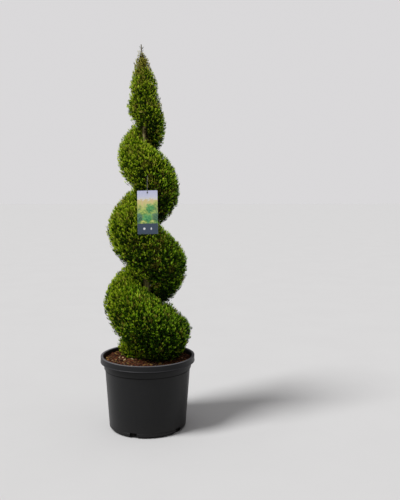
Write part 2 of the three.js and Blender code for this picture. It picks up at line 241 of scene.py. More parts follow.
# %% [markdown]
# Geometry Nodes suit whatever repeats or follows a surface: sprays, twigs, chips, notches. Each tree has
# named inputs. Its modifier is put on an object, the inputs are set, and the evaluated result is kept as a
# plain mesh, so that no live modifier is left.

# %% Shapes by Geometry Nodes
def settled(carrier):
    """The evaluated mesh of an object that is only there to carry a curve or a modifier."""
    depsgraph = bpy.context.evaluated_depsgraph_get()
    mesh = bpy.data.meshes.new_from_object(carrier.evaluated_get(depsgraph))
    carrier.modifiers.clear()
    bpy.data.objects.remove(carrier)
    return mesh


class Shaper(Tree):
    """A Geometry Nodes tree with named inputs, which turns an object's mesh into another mesh."""

    def __init__(self, name, **inputs):
        self.group = bpy.data.node_groups.new(name, "GeometryNodeTree")
        super().__init__(self.group)
        face = self.group.interface
        face.new_socket("Geometry", in_out="INPUT", socket_type="NodeSocketGeometry")
        face.new_socket("Geometry", in_out="OUTPUT", socket_type="NodeSocketGeometry")
        for label, value in inputs.items():
            kind = "NodeSocketInt" if isinstance(value, int) else "NodeSocketFloat"
            face.new_socket(label, in_out="INPUT", socket_type=kind).default_value = value
        self.start = self.nodes.new("NodeGroupInput")
        self.end = self.nodes.new("NodeGroupOutput")

    def given(self, label="Geometry"):
        return Value(self, self.start.outputs[label])

    def attribute(self, name, kind="FLOAT"):
        return self.node("GeometryNodeInputNamedAttribute", {"Name": name}, "Attribute", data_type=kind)

    def compare(self, operation, first, second):
        inputs = {"A": first, "B": second}
        return self.node("FunctionNodeCompare", inputs, data_type="INT", operation=operation)

    def realized(self, instances):
        return self.node("GeometryNodeRealizeInstances", {"Geometry": instances})

    def coat(self, geometry, material, chosen=True):
        inputs = {"Geometry": geometry, "Material": material, "Selection": chosen}
        return self.node("GeometryNodeSetMaterial", inputs)

    def deal(self, geometry, materials, index):
        """Gives each face the material that its own number names."""
        for number, material in enumerate(materials):
            geometry = self.coat(geometry, material, self.compare("EQUAL", index, number))
        return geometry

    def result(self, geometry):
        self.feed(self.end.inputs[0], geometry)

    def shape(self, mesh, **values):
        """The mesh that the tree makes of this one, with some of its inputs set."""
        carrier = put("carrier", mesh)
        modifier = carrier.modifiers.new(self.group.name, "NODES")
        modifier.node_group = self.group
        for socket in self.group.interface.items_tree:
            if socket.in_out == "INPUT" and socket.name in values:
                modifier[socket.identifier] = values[socket.name]
        return settled(carrier)


# %% [markdown]
# A few helpers make every piece the same way: a mesh with its place in its vertices, on an object at the
# origin that rides on the plant's one body. Spun shapes are merged at their axis and turned right side out.

# %% Pieces
def plain_mesh(name, points, faces=(), edges=()):
    mesh = bpy.data.meshes.new(name)
    mesh.from_pydata(points, edges, faces)
    return mesh


def carry(mesh, name, kind, domain, values):
    """Stores a value for each of a mesh's points or faces, under a name."""
    field = "vector" if kind == "FLOAT_VECTOR" else "value"
    mesh.attributes.new(name, kind, domain).data.foreach_set(field, values)


def coated(mesh, *materials):
    """The mesh with these materials and no others."""
    mesh.materials.clear()
    for material in materials:
        mesh.materials.append(material)
    return mesh


def add_piece(name, mesh, slot, *replaced):
    """A finished piece. It rides on the plant's body and stands for the CAD nodes that are named."""
    made = put(name, mesh)
    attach(made, "root")
    if replaced:
        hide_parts(*replaced)
    print(f"{name}: {sum(len(face.vertices) - 2 for face in mesh.polygons)} triangles")


def smooth_mesh(mesh, sharp_degrees):
    mesh.shade_smooth()
    mesh.set_sharp_from_angle(angle=math.radians(sharp_degrees))
    return mesh


@contextmanager
def editing(mesh):
    """The mesh as a bmesh, which is written back at the end of the with block."""
    work = bmesh.new()
    work.from_mesh(mesh)
    yield work
    work.to_mesh(mesh)
    work.free()


def ring_faces(rings, sides):
    """The faces between rings of points that lie one after the other."""
    starts = range(0, (rings - 1) * sides, sides)
    pairs = [(start + i, start + (i + 1) % sides) for start in starts for i in range(sides)]
    return [(here, beside, beside + sides, here + sides) for here, beside in pairs]


def rounded(corners, steps=3):
    """An outline through corners of (radius, height, rounding). Each rounding becomes a short curve."""
    outline = [corners[0][:2]]
    for before, corner, after in zip(corners, corners[1:], corners[2:]):
        middle = Vector(corner[:2])
        ends = []
        for other in (before, after):
            reach = Vector(other[:2]) - middle
            ends.append(middle + reach.normalized() * min(corner[2], 0.45 * reach.length))
        for i in range(steps + 1):
            t = i / steps
            point = ends[0] * (1 - t) ** 2 + middle * 2 * t * (1 - t) + ends[1] * t * t
            outline.append(tuple(point))
    outline.append(corners[-1][:2])
    return outline


def turned(name, outline, segments):
    """The closed mesh that an outline of (radius, height) makes when it is spun round the pot's middle."""
    angles = [math.tau * i / segments for i in range(segments)]
    points = [(r * math.cos(a), r * math.sin(a), z) for r, z in outline for a in angles]
    mesh = plain_mesh(name, points, ring_faces(len(outline), segments))
    with editing(mesh) as work:
        bmesh.ops.remove_doubles(work, verts=work.verts, dist=1e-6)
        bmesh.ops.recalc_face_normals(work, faces=work.faces)
    return mesh


# %% [markdown]
# The studio is a wide pale floor under a pale sky that is brighter overhead, with one very broad lamp high up
# on the left in front. A small lamp would cast hard shadows, where the real light was an overcast yard.

# %% Floor, sky and lamp
PALE_GREY = (0.70, 0.69, 0.70)
AMBIENT = 0.21  # how much of the sky's brightness lights the plant, next to what the camera sees
ZENITH = 4.0  # how much brighter the sky is overhead
FLOOR_PALE = (0.628, 0.625, 0.622)
FLOOR_DUSTY = (0.600, 0.595, 0.594)
FLOOR_REACH = 40.0
LAMP_DIRECTION = (0.66, 0.40, -1.0)
LAMP_SPREAD = math.radians(20)
LAMP_STRENGTH = 3.1


def add_floor():
    corners = [(x * FLOOR_REACH, y * FLOOR_REACH, 0) for x, y in ((-1, -1), (1, -1), (1, 1), (-1, 1))]
    finish = Finish("pale_floor", Roughness=0.9, Specular_IOR_Level=0.1)
    finish.drive(Base_Color=finish.mix(finish.noise(3.0), FLOOR_PALE, FLOOR_DUSTY))
    put("floor", coated(plain_mesh("floor", corners, [(0, 1, 2, 3)]), finish.material))


def add_sky():
    world = bpy.data.worlds.new("pale_sky")
    world.use_nodes = True
    tree = Tree(world.node_tree)
    background = tree.nodes["Background"]
    background.inputs["Color"].default_value = (*PALE_GREY, 1.0)
    direction = tree.node("ShaderNodeTexCoord", output="Generated")
    overhead = tree.fade(tree.part(direction, "Z"), 0.35, 1.0, 1.0, ZENITH)
    seen = tree.node("ShaderNodeLightPath", output="Is Camera Ray")
    tree.feed(background.inputs["Strength"], overhead * AMBIENT + (1 - AMBIENT) * seen)
    bpy.context.scene.world = world


def add_lamp():
    """A very large, far lamp: its light is even over the floor, and its shadows are soft."""
    data = bpy.data.lights.new("key", "SUN")
    data.angle = LAMP_SPREAD
    data.energy = LAMP_STRENGTH
    put("key", data).rotation_euler = Vector(LAMP_DIRECTION).to_track_quat("-Z", "Y").to_euler()


add_floor()
add_sky()
add_lamp()
bpy.context.scene.view_settings.view_transform = "Standard"
print("floor", 2 * FLOOR_REACH, "m wide, lamp", LAMP_STRENGTH)

# %% [markdown]
# The pot is thin black plastic, moulded in one: a wall that widens upwards, a shoulder step, a neck, and a
# rim turned down outside as a skirt. It is one outline spun round, with a small rounding at each corner,
# because on black only the light on the roundings shows. A block is copied round the foot and cut away for
# the drainage notches.

# %% The pot
POT_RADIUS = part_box("pot")[1].x  # of the rim's skirt
POT_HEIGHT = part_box("pot")[1].z
WALL = 0.003
FOOT_RADIUS = 0.1595
FOOT_INSET = 0.005
SHOULDER_RADIUS = 0.1775
NECK_RADIUS = 0.183
FLARE = 0.005  # how much the neck widens inside the rim
UNDER_RIM = POT_HEIGHT - 0.025
NECK_FOOT = 0.245
NOTCHES = 5
FIRST_NOTCH = math.radians(-107.5)
LIP = 0.0185  # height of the foot's lip
POT_SEGMENTS = 144


def pot_outline():
    """From the middle of the floor, down and out round the foot, up outside, over the rim and down inside."""
    inside = POT_RADIUS - WALL
    foot = FOOT_RADIUS - FOOT_INSET
    return rounded([
        (0, 0.0035, 0), (0.120, 0.0035, 0.002), (0.126, 0, 0.002), (foot - 0.005, 0, 0.003),
        (foot, 0.005, 0.003), (foot, 0.008, 0.0006), (FOOT_RADIUS, 0.0095, 0.0012),
        (FOOT_RADIUS + 0.0010, LIP, 0.0008), (FOOT_RADIUS + 0.0002, LIP + 0.0008, 0.0003),
        (FOOT_RADIUS + 0.0003, LIP + 0.0020, 0.0003), (FOOT_RADIUS + 0.0010, LIP + 0.0030, 0.0008),
        (SHOULDER_RADIUS, NECK_FOOT - 0.001, 0.0012), (NECK_RADIUS - 0.001, NECK_FOOT + 0.0045, 0.002),
        (NECK_RADIUS, UNDER_RIM, 0.001), (NECK_RADIUS + FLARE, POT_HEIGHT - WALL, 0.001),
        (inside, POT_HEIGHT - WALL, 0.001), (inside, UNDER_RIM, 0.0012),
        (POT_RADIUS + 0.0006, UNDER_RIM, 0.0012), (POT_RADIUS + 0.0006, UNDER_RIM + 0.0030, 0.0008),
        (POT_RADIUS - 0.0002, UNDER_RIM + 0.0036, 0.0006), (POT_RADIUS, POT_HEIGHT, 0.0016),
        (NECK_RADIUS + FLARE - 0.0010, POT_HEIGHT, 0.0012),
        (NECK_RADIUS + FLARE - WALL, POT_HEIGHT - WALL, 0.0012), (NECK_RADIUS - WALL, UNDER_RIM, 0.003),
        (NECK_RADIUS - 0.001 - WALL, NECK_FOOT + 0.0045, 0.002), (SHOULDER_RADIUS - WALL, NECK_FOOT, 0.002),
        (FOOT_RADIUS - WALL, 0.018, 0.004), (foot - 0.003, 0.007, 0.002), (0, 0.007, 0),
    ])


def notched():
    """Cuts a block through the corner of the foot, at even steps round it."""
    tree = Shaper("notched", count=NOTCHES, deep=0.024, wide=0.030, high=0.022, first=FIRST_NOTCH)
    ring = tree.node("GeometryNodeMeshCircle", {"Vertices": tree.given("count"), "Radius": FOOT_RADIUS})
    angle = tree.node("GeometryNodeInputIndex") / tree.given("count") * math.tau
    turn = tree.node("ShaderNodeCombineXYZ", {"Z": angle})
    sides = {"X": tree.given("deep"), "Y": tree.given("wide"), "Z": tree.given("high") * 2}
    block = tree.node("GeometryNodeMeshCube", {"Size": tree.node("ShaderNodeCombineXYZ", sides)}, "Mesh")
    inputs = {"Points": ring, "Instance": block, "Rotation": turn}
    blocks = tree.node("GeometryNodeInstanceOnPoints", inputs)
    first_turn = tree.node("ShaderNodeCombineXYZ", {"Z": tree.given("first")})
    blocks = tree.node("GeometryNodeTransform", {"Geometry": blocks, "Rotation": first_turn})
    cut = {"Mesh 1": tree.given(), "Mesh 2": tree.realized(blocks)}
    tree.result(tree.node("GeometryNodeMeshBoolean", cut, "Mesh", operation="DIFFERENCE"))
    return tree


# %% [markdown]
# Nursery pots are moulded from recycled black plastic. The surface is a fine, even grain that spreads the
# light, with faint flow marks that run up the wall, and dust from the yard that settles low down. The finish
# is nearly black, and its look is in its roughness: a little varied, and a little paler up the rim face. Light
# and shade are painted on too: a painted highlight along the rim's top edge and on the skirt's lower lip,
# and painted shade in the creases under the rim and at the shoulder step.

# %% Black plastic
def black_plastic():
    finish = Finish("black_plastic", Specular_IOR_Level=0.20)
    grain = finish.noise(2600, 2)
    flow = finish.noise(38, 4, 0.55, finish.place((1, 1, 0.12)))
    blotch = finish.noise(9, 4)
    height = finish.height()
    dust = finish.fade(height, 0.07, 0.0) * blotch * 0.5
    # A little paler up the rim face, towards its top.
    paler_rim_face = finish.fade(height, UNDER_RIM, POT_HEIGHT - WALL, most=0.45)
    # A painted highlight along the rim's top edge, where the light catches it.
    painted_rim_highlight = finish.fade(height, POT_HEIGHT - 0.0014, POT_HEIGHT - 0.0002) * (0.55 + 0.6 * flow)

    def band(middle, half):
        """1 at a height, and 0 from half a band's width away from it."""
        return finish.fade(finish.math("ABSOLUTE", height - middle), half, half * 0.4)

    # A painted highlight on the skirt's lower lip, where its rounding catches the light.
    painted_lip_highlight = band(UNDER_RIM + 0.0025, 0.0030) * 0.6
    # Painted shade in the creases under the rim and at the shoulder step, which are also rougher.
    painted_crease_shade = finish.math("MAXIMUM", band(UNDER_RIM - 0.003, 0.0040), band(NECK_FOOT + 0.001, 0.004))
    black = finish.mix(flow, (0.0085, 0.0087, 0.0092), (0.0118, 0.0121, 0.0127))
    # Colours for the dust, the paler rim face, the painted rim highlight, the painted lip highlight and the
    # painted crease shade, in that order.
    greys = [(0.024, 0.022, 0.020), (0.017, 0.017, 0.020), (0.150, 0.145, 0.155), (0.040, 0.040, 0.044)]
    greys.append((0.0015, 0.0015, 0.0015))
    for mask, grey in zip((dust, paler_rim_face, painted_rim_highlight, painted_lip_highlight, painted_crease_shade), greys):
        black = finish.mix(mask, black, grey)
    finish.drive(Base_Color=black)
    finish.drive(Roughness=0.31 + 0.12 * blotch + 0.06 * flow + 0.3 * dust + 0.4 * painted_crease_shade)
    finish.relief(grain * 0.7 + flow * 0.6, 0.00012)
    return finish.material


pot_mesh = notched().shape(turned("pot_shell", pot_outline(), POT_SEGMENTS))
add_piece("pot_shell", smooth_mesh(coated(pot_mesh, black_plastic()), 28), "pot", "pot")

# %% [markdown]
# The trunk leans a little and winds on its way up. The CAD stem is a stack of level rings, so its middle and
# its radius at each height can be read from them. The finished trunk follows the same line with many more
# rings, and each point is pushed in or out by a noise that is stretched upwards, because the bark of this
# plant peels in long fibrous strips. Real relief shows where the groove bares the trunk against the light.

# %% The trunk's line
TRUNK_POINTS = np.array([point.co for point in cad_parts["trunk"].data.vertices])
RING_HEIGHTS = np.unique(np.round(TRUNK_POINTS[:, 2], 4))


def ring_at(height):
    ring = TRUNK_POINTS[np.abs(TRUNK_POINTS[:, 2] - height) < 2e-4]
    middle = (ring.min(0) + ring.max(0))[:2] / 2
    radius = np.linalg.norm(ring[:, :2] - middle, axis=1).max()
    return [*middle, radius]


RINGS = np.array([ring_at(height) for height in RING_HEIGHTS])


def trunk_middle(heights):
    """The trunk's middle at some heights, as rows of x and y."""
    across = [np.interp(heights, RING_HEIGHTS, RINGS[:, axis]) for axis in (0, 1)]
    return np.stack(across, axis=-1)


def trunk_radius(heights):
    return np.interp(heights, RING_HEIGHTS, RINGS[:, 2])


SOIL_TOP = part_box("soil")[1].z
TREE_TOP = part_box("trunk")[1].z
print("trunk rings:", len(RINGS), "soil at", round(SOIL_TOP, 4), "tip at", round(TREE_TOP, 4))

# %% The trunk and its bark
TRUNK_SIDES = 40
TRUNK_STEP = 0.0032
FLUTES = 5  # root buttresses that run up into the foot
FOOT_FADE = 0.03  # how soon what is different at the foot fades out above the soil
YOUNG_WOOD = (1.45, 1.54)  # the heights between which the bark turns dark and young


def bark_depth(angle, height, radius):
    """How far the bark stands proud: long strips, fine fibres, and buttresses at the foot."""
    x = math.cos(angle)
    y = math.sin(angle)
    strip = abs(noise.noise((x * 2.6, y * 2.6, height * 16)))
    fibre = noise.noise((x * 7.5, y * 7.5, height * 46 + 9))
    foot = math.exp(-(height - SOIL_TOP) / FOOT_FADE)
    flute = math.cos(FLUTES * angle + 1.5 * noise.noise((x, y, 3.0)))
    return radius * (0.10 * (0.5 - strip * 1.6) + 0.045 * fibre + 0.10 * foot * flute)


def trunk_mesh():
    rows = int((TREE_TOP - SOIL_TOP) / TRUNK_STEP)
    heights = np.linspace(SOIL_TOP + 0.0003, TREE_TOP, rows)
    points = []
    for height, middle, radius in zip(heights, trunk_middle(heights), trunk_radius(heights)):
        for i in range(TRUNK_SIDES):
            angle = math.tau * i / TRUNK_SIDES
            reach = radius + bark_depth(angle, height, radius)
            points.append((middle[0] + reach * math.cos(angle), middle[1] + reach * math.sin(angle), height))
    faces = ring_faces(rows, TRUNK_SIDES)
    faces.append(tuple(reversed(range(TRUNK_SIDES))))
    faces.append(tuple((rows - 1) * TRUNK_SIDES + i for i in range(TRUNK_SIDES)))
    return smooth_mesh(coated(plain_mesh("trunk_bark", points, faces), bark), 60)


def fibrous_bark():
    """Grey-tan strips with red-brown fibres in the cracks between them."""
    finish = Finish("fibrous_bark", Roughness=0.85, Specular_IOR_Level=0.2)
    strips = finish.noise(320, 5, 0.6, finish.place((1, 1, 0.09)))
    tan = finish.mix(finish.noise(26, 3), (0.560, 0.500, 0.190), (0.420, 0.370, 0.150))
    tan = finish.mix(finish.fade(finish.height(), *YOUNG_WOOD), tan, (0.110, 0.095, 0.060))
    crack = finish.ramp(strips, (0.40, 1.0), (0.56, 0.0))
    finish.drive(Base_Color=finish.mix(crack, tan, (0.190, 0.150, 0.060)))
    finish.relief(strips, 0.0012, 0.8)
    return finish.material


bark = fibrous_bark()
add_piece("trunk_bark", trunk_mesh(), "bark", "trunk")

# %% [markdown]
# The shears leave a clear skin, and that skin is what the CAD solids of the band have outside. So the solids
# are merged into one mesh without the faces that touch the trunk, the soil or the next solid, and points are
# scattered over it at even distances. Every one of them is the place where a spray will end. Even distances
# come from Poisson disks, which leave neither clumps nor holes.

# %% The clipped skin
MASSES = sorted(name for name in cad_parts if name.startswith("turn_")) + ["spire"]
SPIRE = len(MASSES) - 1
SPIRE_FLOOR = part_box("spire")[0].z
AGAINST_TRUNK = 0.004


def is_covered(face, name):
    """Whether a face of a solid lies against the trunk, the soil or another solid."""
    middle = np.array(face.calc_center_median())
    out = middle[:2] - trunk_middle(middle[2])
    distance = np.linalg.norm(out)
    if distance < trunk_radius(middle[2]) + AGAINST_TRUNK:
        return True
    across = abs(face.normal.x * -out[1] + face.normal.y * out[0]) / distance
    on_soil = face.normal.z < -0.9 and middle[2] < SOIL_TOP + 0.002
    at_spire = abs(face.normal.z) > 0.9 and abs(middle[2] - SPIRE_FLOOR) < 0.001
    return on_soil or at_spire or (across > 0.97 and name != MASSES[0])


def clipped_skin():
    points = []
    faces = []
    masses = []
    for number, name in enumerate(MASSES):
        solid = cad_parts[name].data.copy()
        with editing(solid) as work:
            bmesh.ops.remove_doubles(work, verts=work.verts, dist=2e-5)
            covered = [face for face in work.faces if is_covered(face, name)]
            bmesh.ops.delete(work, geom=covered, context="FACES")
        start = len(points)
        points += [vertex.co[:] for vertex in solid.vertices]
        faces += [[start + i for i in face.vertices] for face in solid.polygons]
        masses += [number] * len(solid.polygons)
    mesh = plain_mesh("clipped_skin", points, faces)
    carry(mesh, "mass", "INT", "FACE", masses)
    with editing(mesh) as work:
        bmesh.ops.remove_doubles(work, verts=work.verts, dist=4e-4)
    return mesh


def scattered():
    """Even points over a skin, each with the way that the skin faces there."""
    tree = Shaper("scattered", apart=0.006, seed=1)
    inputs = {"Geometry": tree.given(), "Name": "facing", "Value": tree.node("GeometryNodeInputNormal")}
    skin = tree.node("GeometryNodeStoreNamedAttribute", inputs, data_type="FLOAT_VECTOR", domain="POINT")
    apart = tree.given("apart")
    inputs = {"Mesh": skin, "Distance Min": apart, "Density Max": 3.0 / (apart * apart),
              "Seed": tree.given("seed")}
    points = tree.node("GeometryNodeDistributePointsOnFaces", inputs, distribute_method="POISSON")
    tree.result(tree.node("GeometryNodePointsToVertices", {"Points": points}))
    return tree


def units(vectors):
    return vectors / np.maximum(np.linalg.norm(vectors, axis=-1, keepdims=True), 1e-12)


def read_points(mesh):
    """The places, facings and mass numbers of scattered points."""
    count = len(mesh.vertices)
    places, facings, masses = np.zeros((count, 3)), np.zeros((count, 3)), np.zeros(count, int)
    mesh.vertices.foreach_get("co", places.ravel())
    mesh.attributes["facing"].data.foreach_get("vector", facings.ravel())
    mesh.attributes["mass"].data.foreach_get("value", masses)
    return places, units(facings), masses


def skin_points(apart, seed, spire_apart):
    """Scattered points: so far apart on the band, and at a distance of its own on the slender spire."""
    band = read_points(scatter.shape(skin_mesh, apart=apart, seed=seed))
    spire = read_points(scatter.shape(skin_mesh, apart=spire_apart, seed=seed + 1))
    on_band = band[2] != SPIRE
    on_spire = spire[2] == SPIRE
    return [np.concatenate([ours[on_band], theirs[on_spire]]) for ours, theirs in zip(band, spire)]


skin_mesh = clipped_skin()
scatter = scattered()
TWIG_APART = 0.016
BOUGH_APART = 0.062
outer = skin_points(0.0058, 3, 0.0048)
under = skin_points(0.0062, 11, 0.0056)
core = skin_points(0.0088, 17, 0.0088)
twig_tips = skin_points(TWIG_APART, 5, TWIG_APART)
bough_tips = skin_points(BOUGH_APART, 7, BOUGH_APART)
print("sprays in each layer:", len(outer[0]), len(under[0]), len(core[0]))
print("twigs:", len(twig_tips[0]), "boughs:", len(bough_tips[0]))

# %% [markdown]
# A tree grows from the inside out, and so does this rule. Each bough leaves the trunk in the middle of the
# band, so that none crosses the groove. Each twig starts on the nearest bough and ends a finger's width under
# the skin. Each spray starts near a twig and ends at the skin, fanned out by where it stands round the twig,
# with a pull towards the light. All chance here comes from one seeded source.

# %% Boughs and twigs
chance = np.random.default_rng(2024)
UP = np.array([0.0, 0.0, 1.0])
BOUGH_SHARE = 0.62  # how far a bough reaches on its way to the skin
TWIG_DEPTH = 0.011  # how far a twig ends under the skin


def bough_roots(places, masses):
    """Where each bough leaves the trunk: at the band's middle height on that side."""
    out = units(places[:, :2] - trunk_middle(places[:, 2]))
    skin_places, _, skin_masses = outer
    skin_out = units(skin_places[:, :2] - trunk_middle(skin_places[:, 2]))
    roots = np.zeros_like(places)
    for i, place in enumerate(places):
        near = (skin_masses == masses[i]) & (skin_out @ out[i] > 0.95)
        level = skin_places[near, 2]
        height = 0.6 * level.min() + 0.4 * level.max() if near.any() else place[2]
        if masses[i] == SPIRE:
            height = max(SPIRE_FLOOR - 0.02, place[2] - 0.04)
        roots[i] = (*(trunk_middle(height) + out[i] * trunk_radius(height) * 0.7), height)
    return roots


def bent_lines(starts, ends, bend, count):
    """Curved lines of count points from each start to each end. Bend moves the middle of each."""
    t = np.linspace(0, 1, count)[None, :, None]
    middles = (starts + ends) / 2 + bend
    return starts[:, None] * (1 - t) ** 2 + 2 * middles[:, None] * t * (1 - t) + ends[:, None] * t * t


def limb_mesh(name, lines, thick, thin):
    """Rows of points joined by edges, each point with a radius that tapers along its line."""
    lines_count, points_count = lines.shape[:2]
    first = np.arange(lines_count)[:, None] * points_count + np.arange(points_count - 1)[None]
    edges = np.stack([first, first + 1], axis=-1).reshape(-1, 2)
    mesh = plain_mesh(name, lines.reshape(-1, 3).tolist(), edges=edges.tolist())
    share = np.linspace(0, 1, points_count)[None, :]
    radii = thick[:, None] * (1 - share) + thin * share
    carry(mesh, "radius", "FLOAT", "POINT", radii.ravel())
    return mesh


def limbs(material):
    """Turns lines with radii into closed, tapering tubes."""
    tree = Shaper("limbs", sides=5)
    curve = tree.node("GeometryNodeMeshToCurve", {"Mesh": tree.given()})
    ring = tree.node("GeometryNodeCurvePrimitiveCircle", {"Resolution": tree.given("sides"), "Radius": 1.0})
    inputs = {"Curve": curve, "Profile Curve": ring, "Fill Caps": True, "Scale": tree.attribute("radius")}
    tube = tree.node("GeometryNodeCurveToMesh", inputs)
    tree.result(tree.coat(tree.realized(tube), material))
    return tree


def nearest(spots, places):
    """For each place, the number of the spot nearest to it."""
    tree = KDTree(len(spots))
    for i, spot in enumerate(spots):
        tree.insert(spot, i)
    tree.balance()
    return np.array([tree.find(place)[1] for place in places])


def jogs(lengths, spread):
    """A little chance in each line's bend, in proportion to its length."""
    return chance.normal(0, spread, (len(lengths), 3)) * lengths[:, None]


bough_starts = bough_roots(bough_tips[0], bough_tips[2])
bough_ends = bough_starts + BOUGH_SHARE * (bough_tips[0] - bough_starts)
bough_lengths = np.linalg.norm(bough_ends - bough_starts, axis=1)
bough_bend = UP * -0.10 * bough_lengths[:, None] + jogs(bough_lengths, 0.05)
bough_lines = bent_lines(bough_starts, bough_ends, bough_bend, 7)

twig_ends = twig_tips[0] - twig_tips[1] * TWIG_DEPTH
bough_spots = bough_lines[:, 2:].reshape(-1, 3)
twig_starts = bough_spots[nearest(bough_spots, twig_ends - twig_tips[1] * 0.02)]
twig_lengths = np.linalg.norm(twig_ends - twig_starts, axis=1)
twig_bend = -twig_tips[1] * 0.12 * twig_lengths[:, None] + jogs(twig_lengths, 0.04)
twig_lines = bent_lines(twig_starts, twig_ends, twig_bend, 4)
print("longest bough", round(bough_lengths.max(), 3), "longest twig", round(twig_lengths.max(), 3))

twig_bark = plain_finish("young_bark", (0.085, 0.05, 0.026), 0.8, 0.2)
bough_mesh = limb_mesh("boughs", bough_lines, 0.0016 + 0.02 * bough_lengths, 0.0011)
add_piece("boughs", limbs(bark).shape(bough_mesh, sides=6), "bark")
twig_mesh = limb_mesh("twigs", twig_lines, 0.0006 + 0.008 * twig_lengths, 0.0004)
add_piece("twigs", limbs(twig_bark).shape(twig_mesh, sides=4), "bark")

# %% [markdown]
# A spray of this plant is a small fan of scaly branchlets. At this size a branchlet is one folded leaflet,
# and a thin stalk joins the spray to its twig. Outside stand open stars and feathers, with gaps between
# their points that let the dark inside show, and slim shoots for the tips that stand proud. Their leaflets
# have four triangles each. Under them are plainer fans and tufts, with two triangles to a leaflet.

# %% Kinds of spray
MILLIMETRE = 0.001
STALK_SHADE = 40  # more than any tint's number, so that a stalk is told by it
SPRAY_LENGTH = 0.018
LEAFLET_SHADES = (3, 1, 2, 0)  # dealt out in turn: how many tints brighter a leaflet's tip is
FOLD = 0.22  # how deep a leaflet is folded, as a share of its width
# Each leaflet: degrees off the axis, degrees round it, start along the axis, length and width in millimetres
STAR = [
    (5, 30, 6, 14, 2.8), (28, 0, 2, 13, 2.8), (23, 90, 4, 13, 2.7), (31, 180, 1, 13, 2.8),
    (24, 270, 4, 13, 2.7),
]
FEATHER = [
    (0, 0, 7, 14, 2.8), (25, 0, 1, 14, 2.8), (25, 180, 3, 13, 2.8), (28, 10, 8, 10, 2.5),
    (28, 190, 10, 9, 2.5), (40, 90, 3, 10, 2.7),
]
FAN = [
    (0, 0, 4, 14, 4.4), (25, 0, 3, 13, 4.2), (25, 180, 3, 12, 4.2), (50, 0, 1, 11, 4.0),
    (50, 180, 2, 11, 4.0),
]
TUFT = [
    (6, 0, 3, 15, 4.4), (30, 20, 2, 13, 4.2), (30, 140, 2, 13, 4.2), (30, 260, 2, 12, 4.2),
    (58, 80, 0, 12, 4.0),
]
SHOOT = [(0, 0, 4, 15, 3.4), (16, 0, 2, 10, 2.8), (16, 180, 5, 9, 2.6)]


def spray_kind(name, leaflets, is_flat, is_fine):
    """A spray with +Z as its axis. Each face has its shade. A fine spray has four faces to a leaflet."""
    points = [Vector((0.5, 0, 4)), Vector((-0.5, 0, 4)), Vector((0.4, 0, -9)), Vector((-0.4, 0, -9))]
    faces = [(0, 1, 3), (0, 3, 2)]
    shades = [STALK_SHADE, STALK_SHADE]
    axis = Vector((0, 0, 1))
    for number, (tilt, round_axis, start, length, width) in enumerate(leaflets):
        sideways = Vector((math.cos(math.radians(round_axis)), math.sin(math.radians(round_axis)), 0))
        lean = math.radians(tilt)
        along = axis * math.cos(lean) + sideways * math.sin(lean)
        flat_side = sideways * math.cos(lean) - axis * math.sin(lean)
        side = flat_side if is_flat else axis.cross(sideways)
        foot = axis * start
        waist = foot + along * length * 0.5
        fold = along.cross(side) * width * FOLD
        half = side * width / 2
        a = len(points)
        points += [foot, waist + half - fold, waist - half - fold, foot + along * length]
        # A leaflet's tip is paler, as new growth; its foot's faces are painted darker, as shade.
        tip = LEAFLET_SHADES[number % len(LEAFLET_SHADES)]
        if is_fine:
            points.append(waist)
            faces += [(a, a + 1, a + 4), (a, a + 4, a + 2), (a + 4, a + 1, a + 3), (a + 4, a + 3, a + 2)]
            shades += [max(0, tip - 2), max(0, tip - 1), tip, tip]
        else:
            faces += [(a, a + 1, a + 3), (a, a + 3, a + 2)]
            shades += [max(0, tip - 1), tip]
    mesh = plain_mesh(name, [point * MILLIMETRE for point in points], faces)
    carry(mesh, "shade", "INT", "FACE", shades)
    return bpy.data.objects.new(name, mesh)


KINDS = [
    spray_kind("star", STAR, False, True),
    spray_kind("feather", FEATHER, True, True),
    spray_kind("fan", FAN, True, False),
    spray_kind("tuft", TUFT, False, False),
    spray_kind("shoot", SHOOT, True, True),
]
SHOOT_KIND = 4
print("triangles in each kind:", [len(kind.data.polygons) for kind in KINDS])

# %% [markdown]
# New growth is paler than old, so each spray takes one tint and its tips take brighter ones; a leaflet's foot
# is also painted darker than its tip, as shade. The rows run from dark to pale: yellowish greens, olives for
# what has dried, and the same greens with less red, for painted shade on the side away from the lamp. The
# tint that a spray takes carries painted light and shade as well as age. Many plain tints side by side read as
# one lively surface, and they bake well.

# %% Tints of the foliage
GREENS = [
    ("inner_green", (0.0030, 0.0080, 0.0005)),
    ("deep_green", (0.0090, 0.0240, 0.0008)),
    ("old_green", (0.022, 0.058, 0.001)),
    ("mid_green", (0.055, 0.128, 0.002)),
    ("fresh_green", (0.142, 0.265, 0.003)),
    ("new_green", (0.300, 0.470, 0.008)),
    ("tip_green", (0.500, 0.655, 0.022)),
    ("pale_green", (0.740, 0.840, 0.070)),
]
OLIVES = [
    ("deep_olive", (0.022, 0.024, 0.003)),
    ("old_olive", (0.058, 0.060, 0.006)),
    ("mid_olive", (0.125, 0.125, 0.012)),
    ("fresh_olive", (0.255, 0.248, 0.022)),
    ("pale_olive", (0.500, 0.475, 0.065)),
    ("tip_olive", (0.740, 0.700, 0.130)),
]
# The same greens with less red, for painted shade on the side away from the lamp.
PURE_GREENS = [("pure_" + name, (red * 0.78, green * 0.99, blue)) for name, (red, green, blue) in GREENS]
FIRST_OLIVE = len(GREENS)
FIRST_PURE = len(GREENS) + len(OLIVES)
tints = [plain_finish(name, colour, 0.55, 0.08) for name, colour in GREENS + OLIVES + PURE_GREENS]


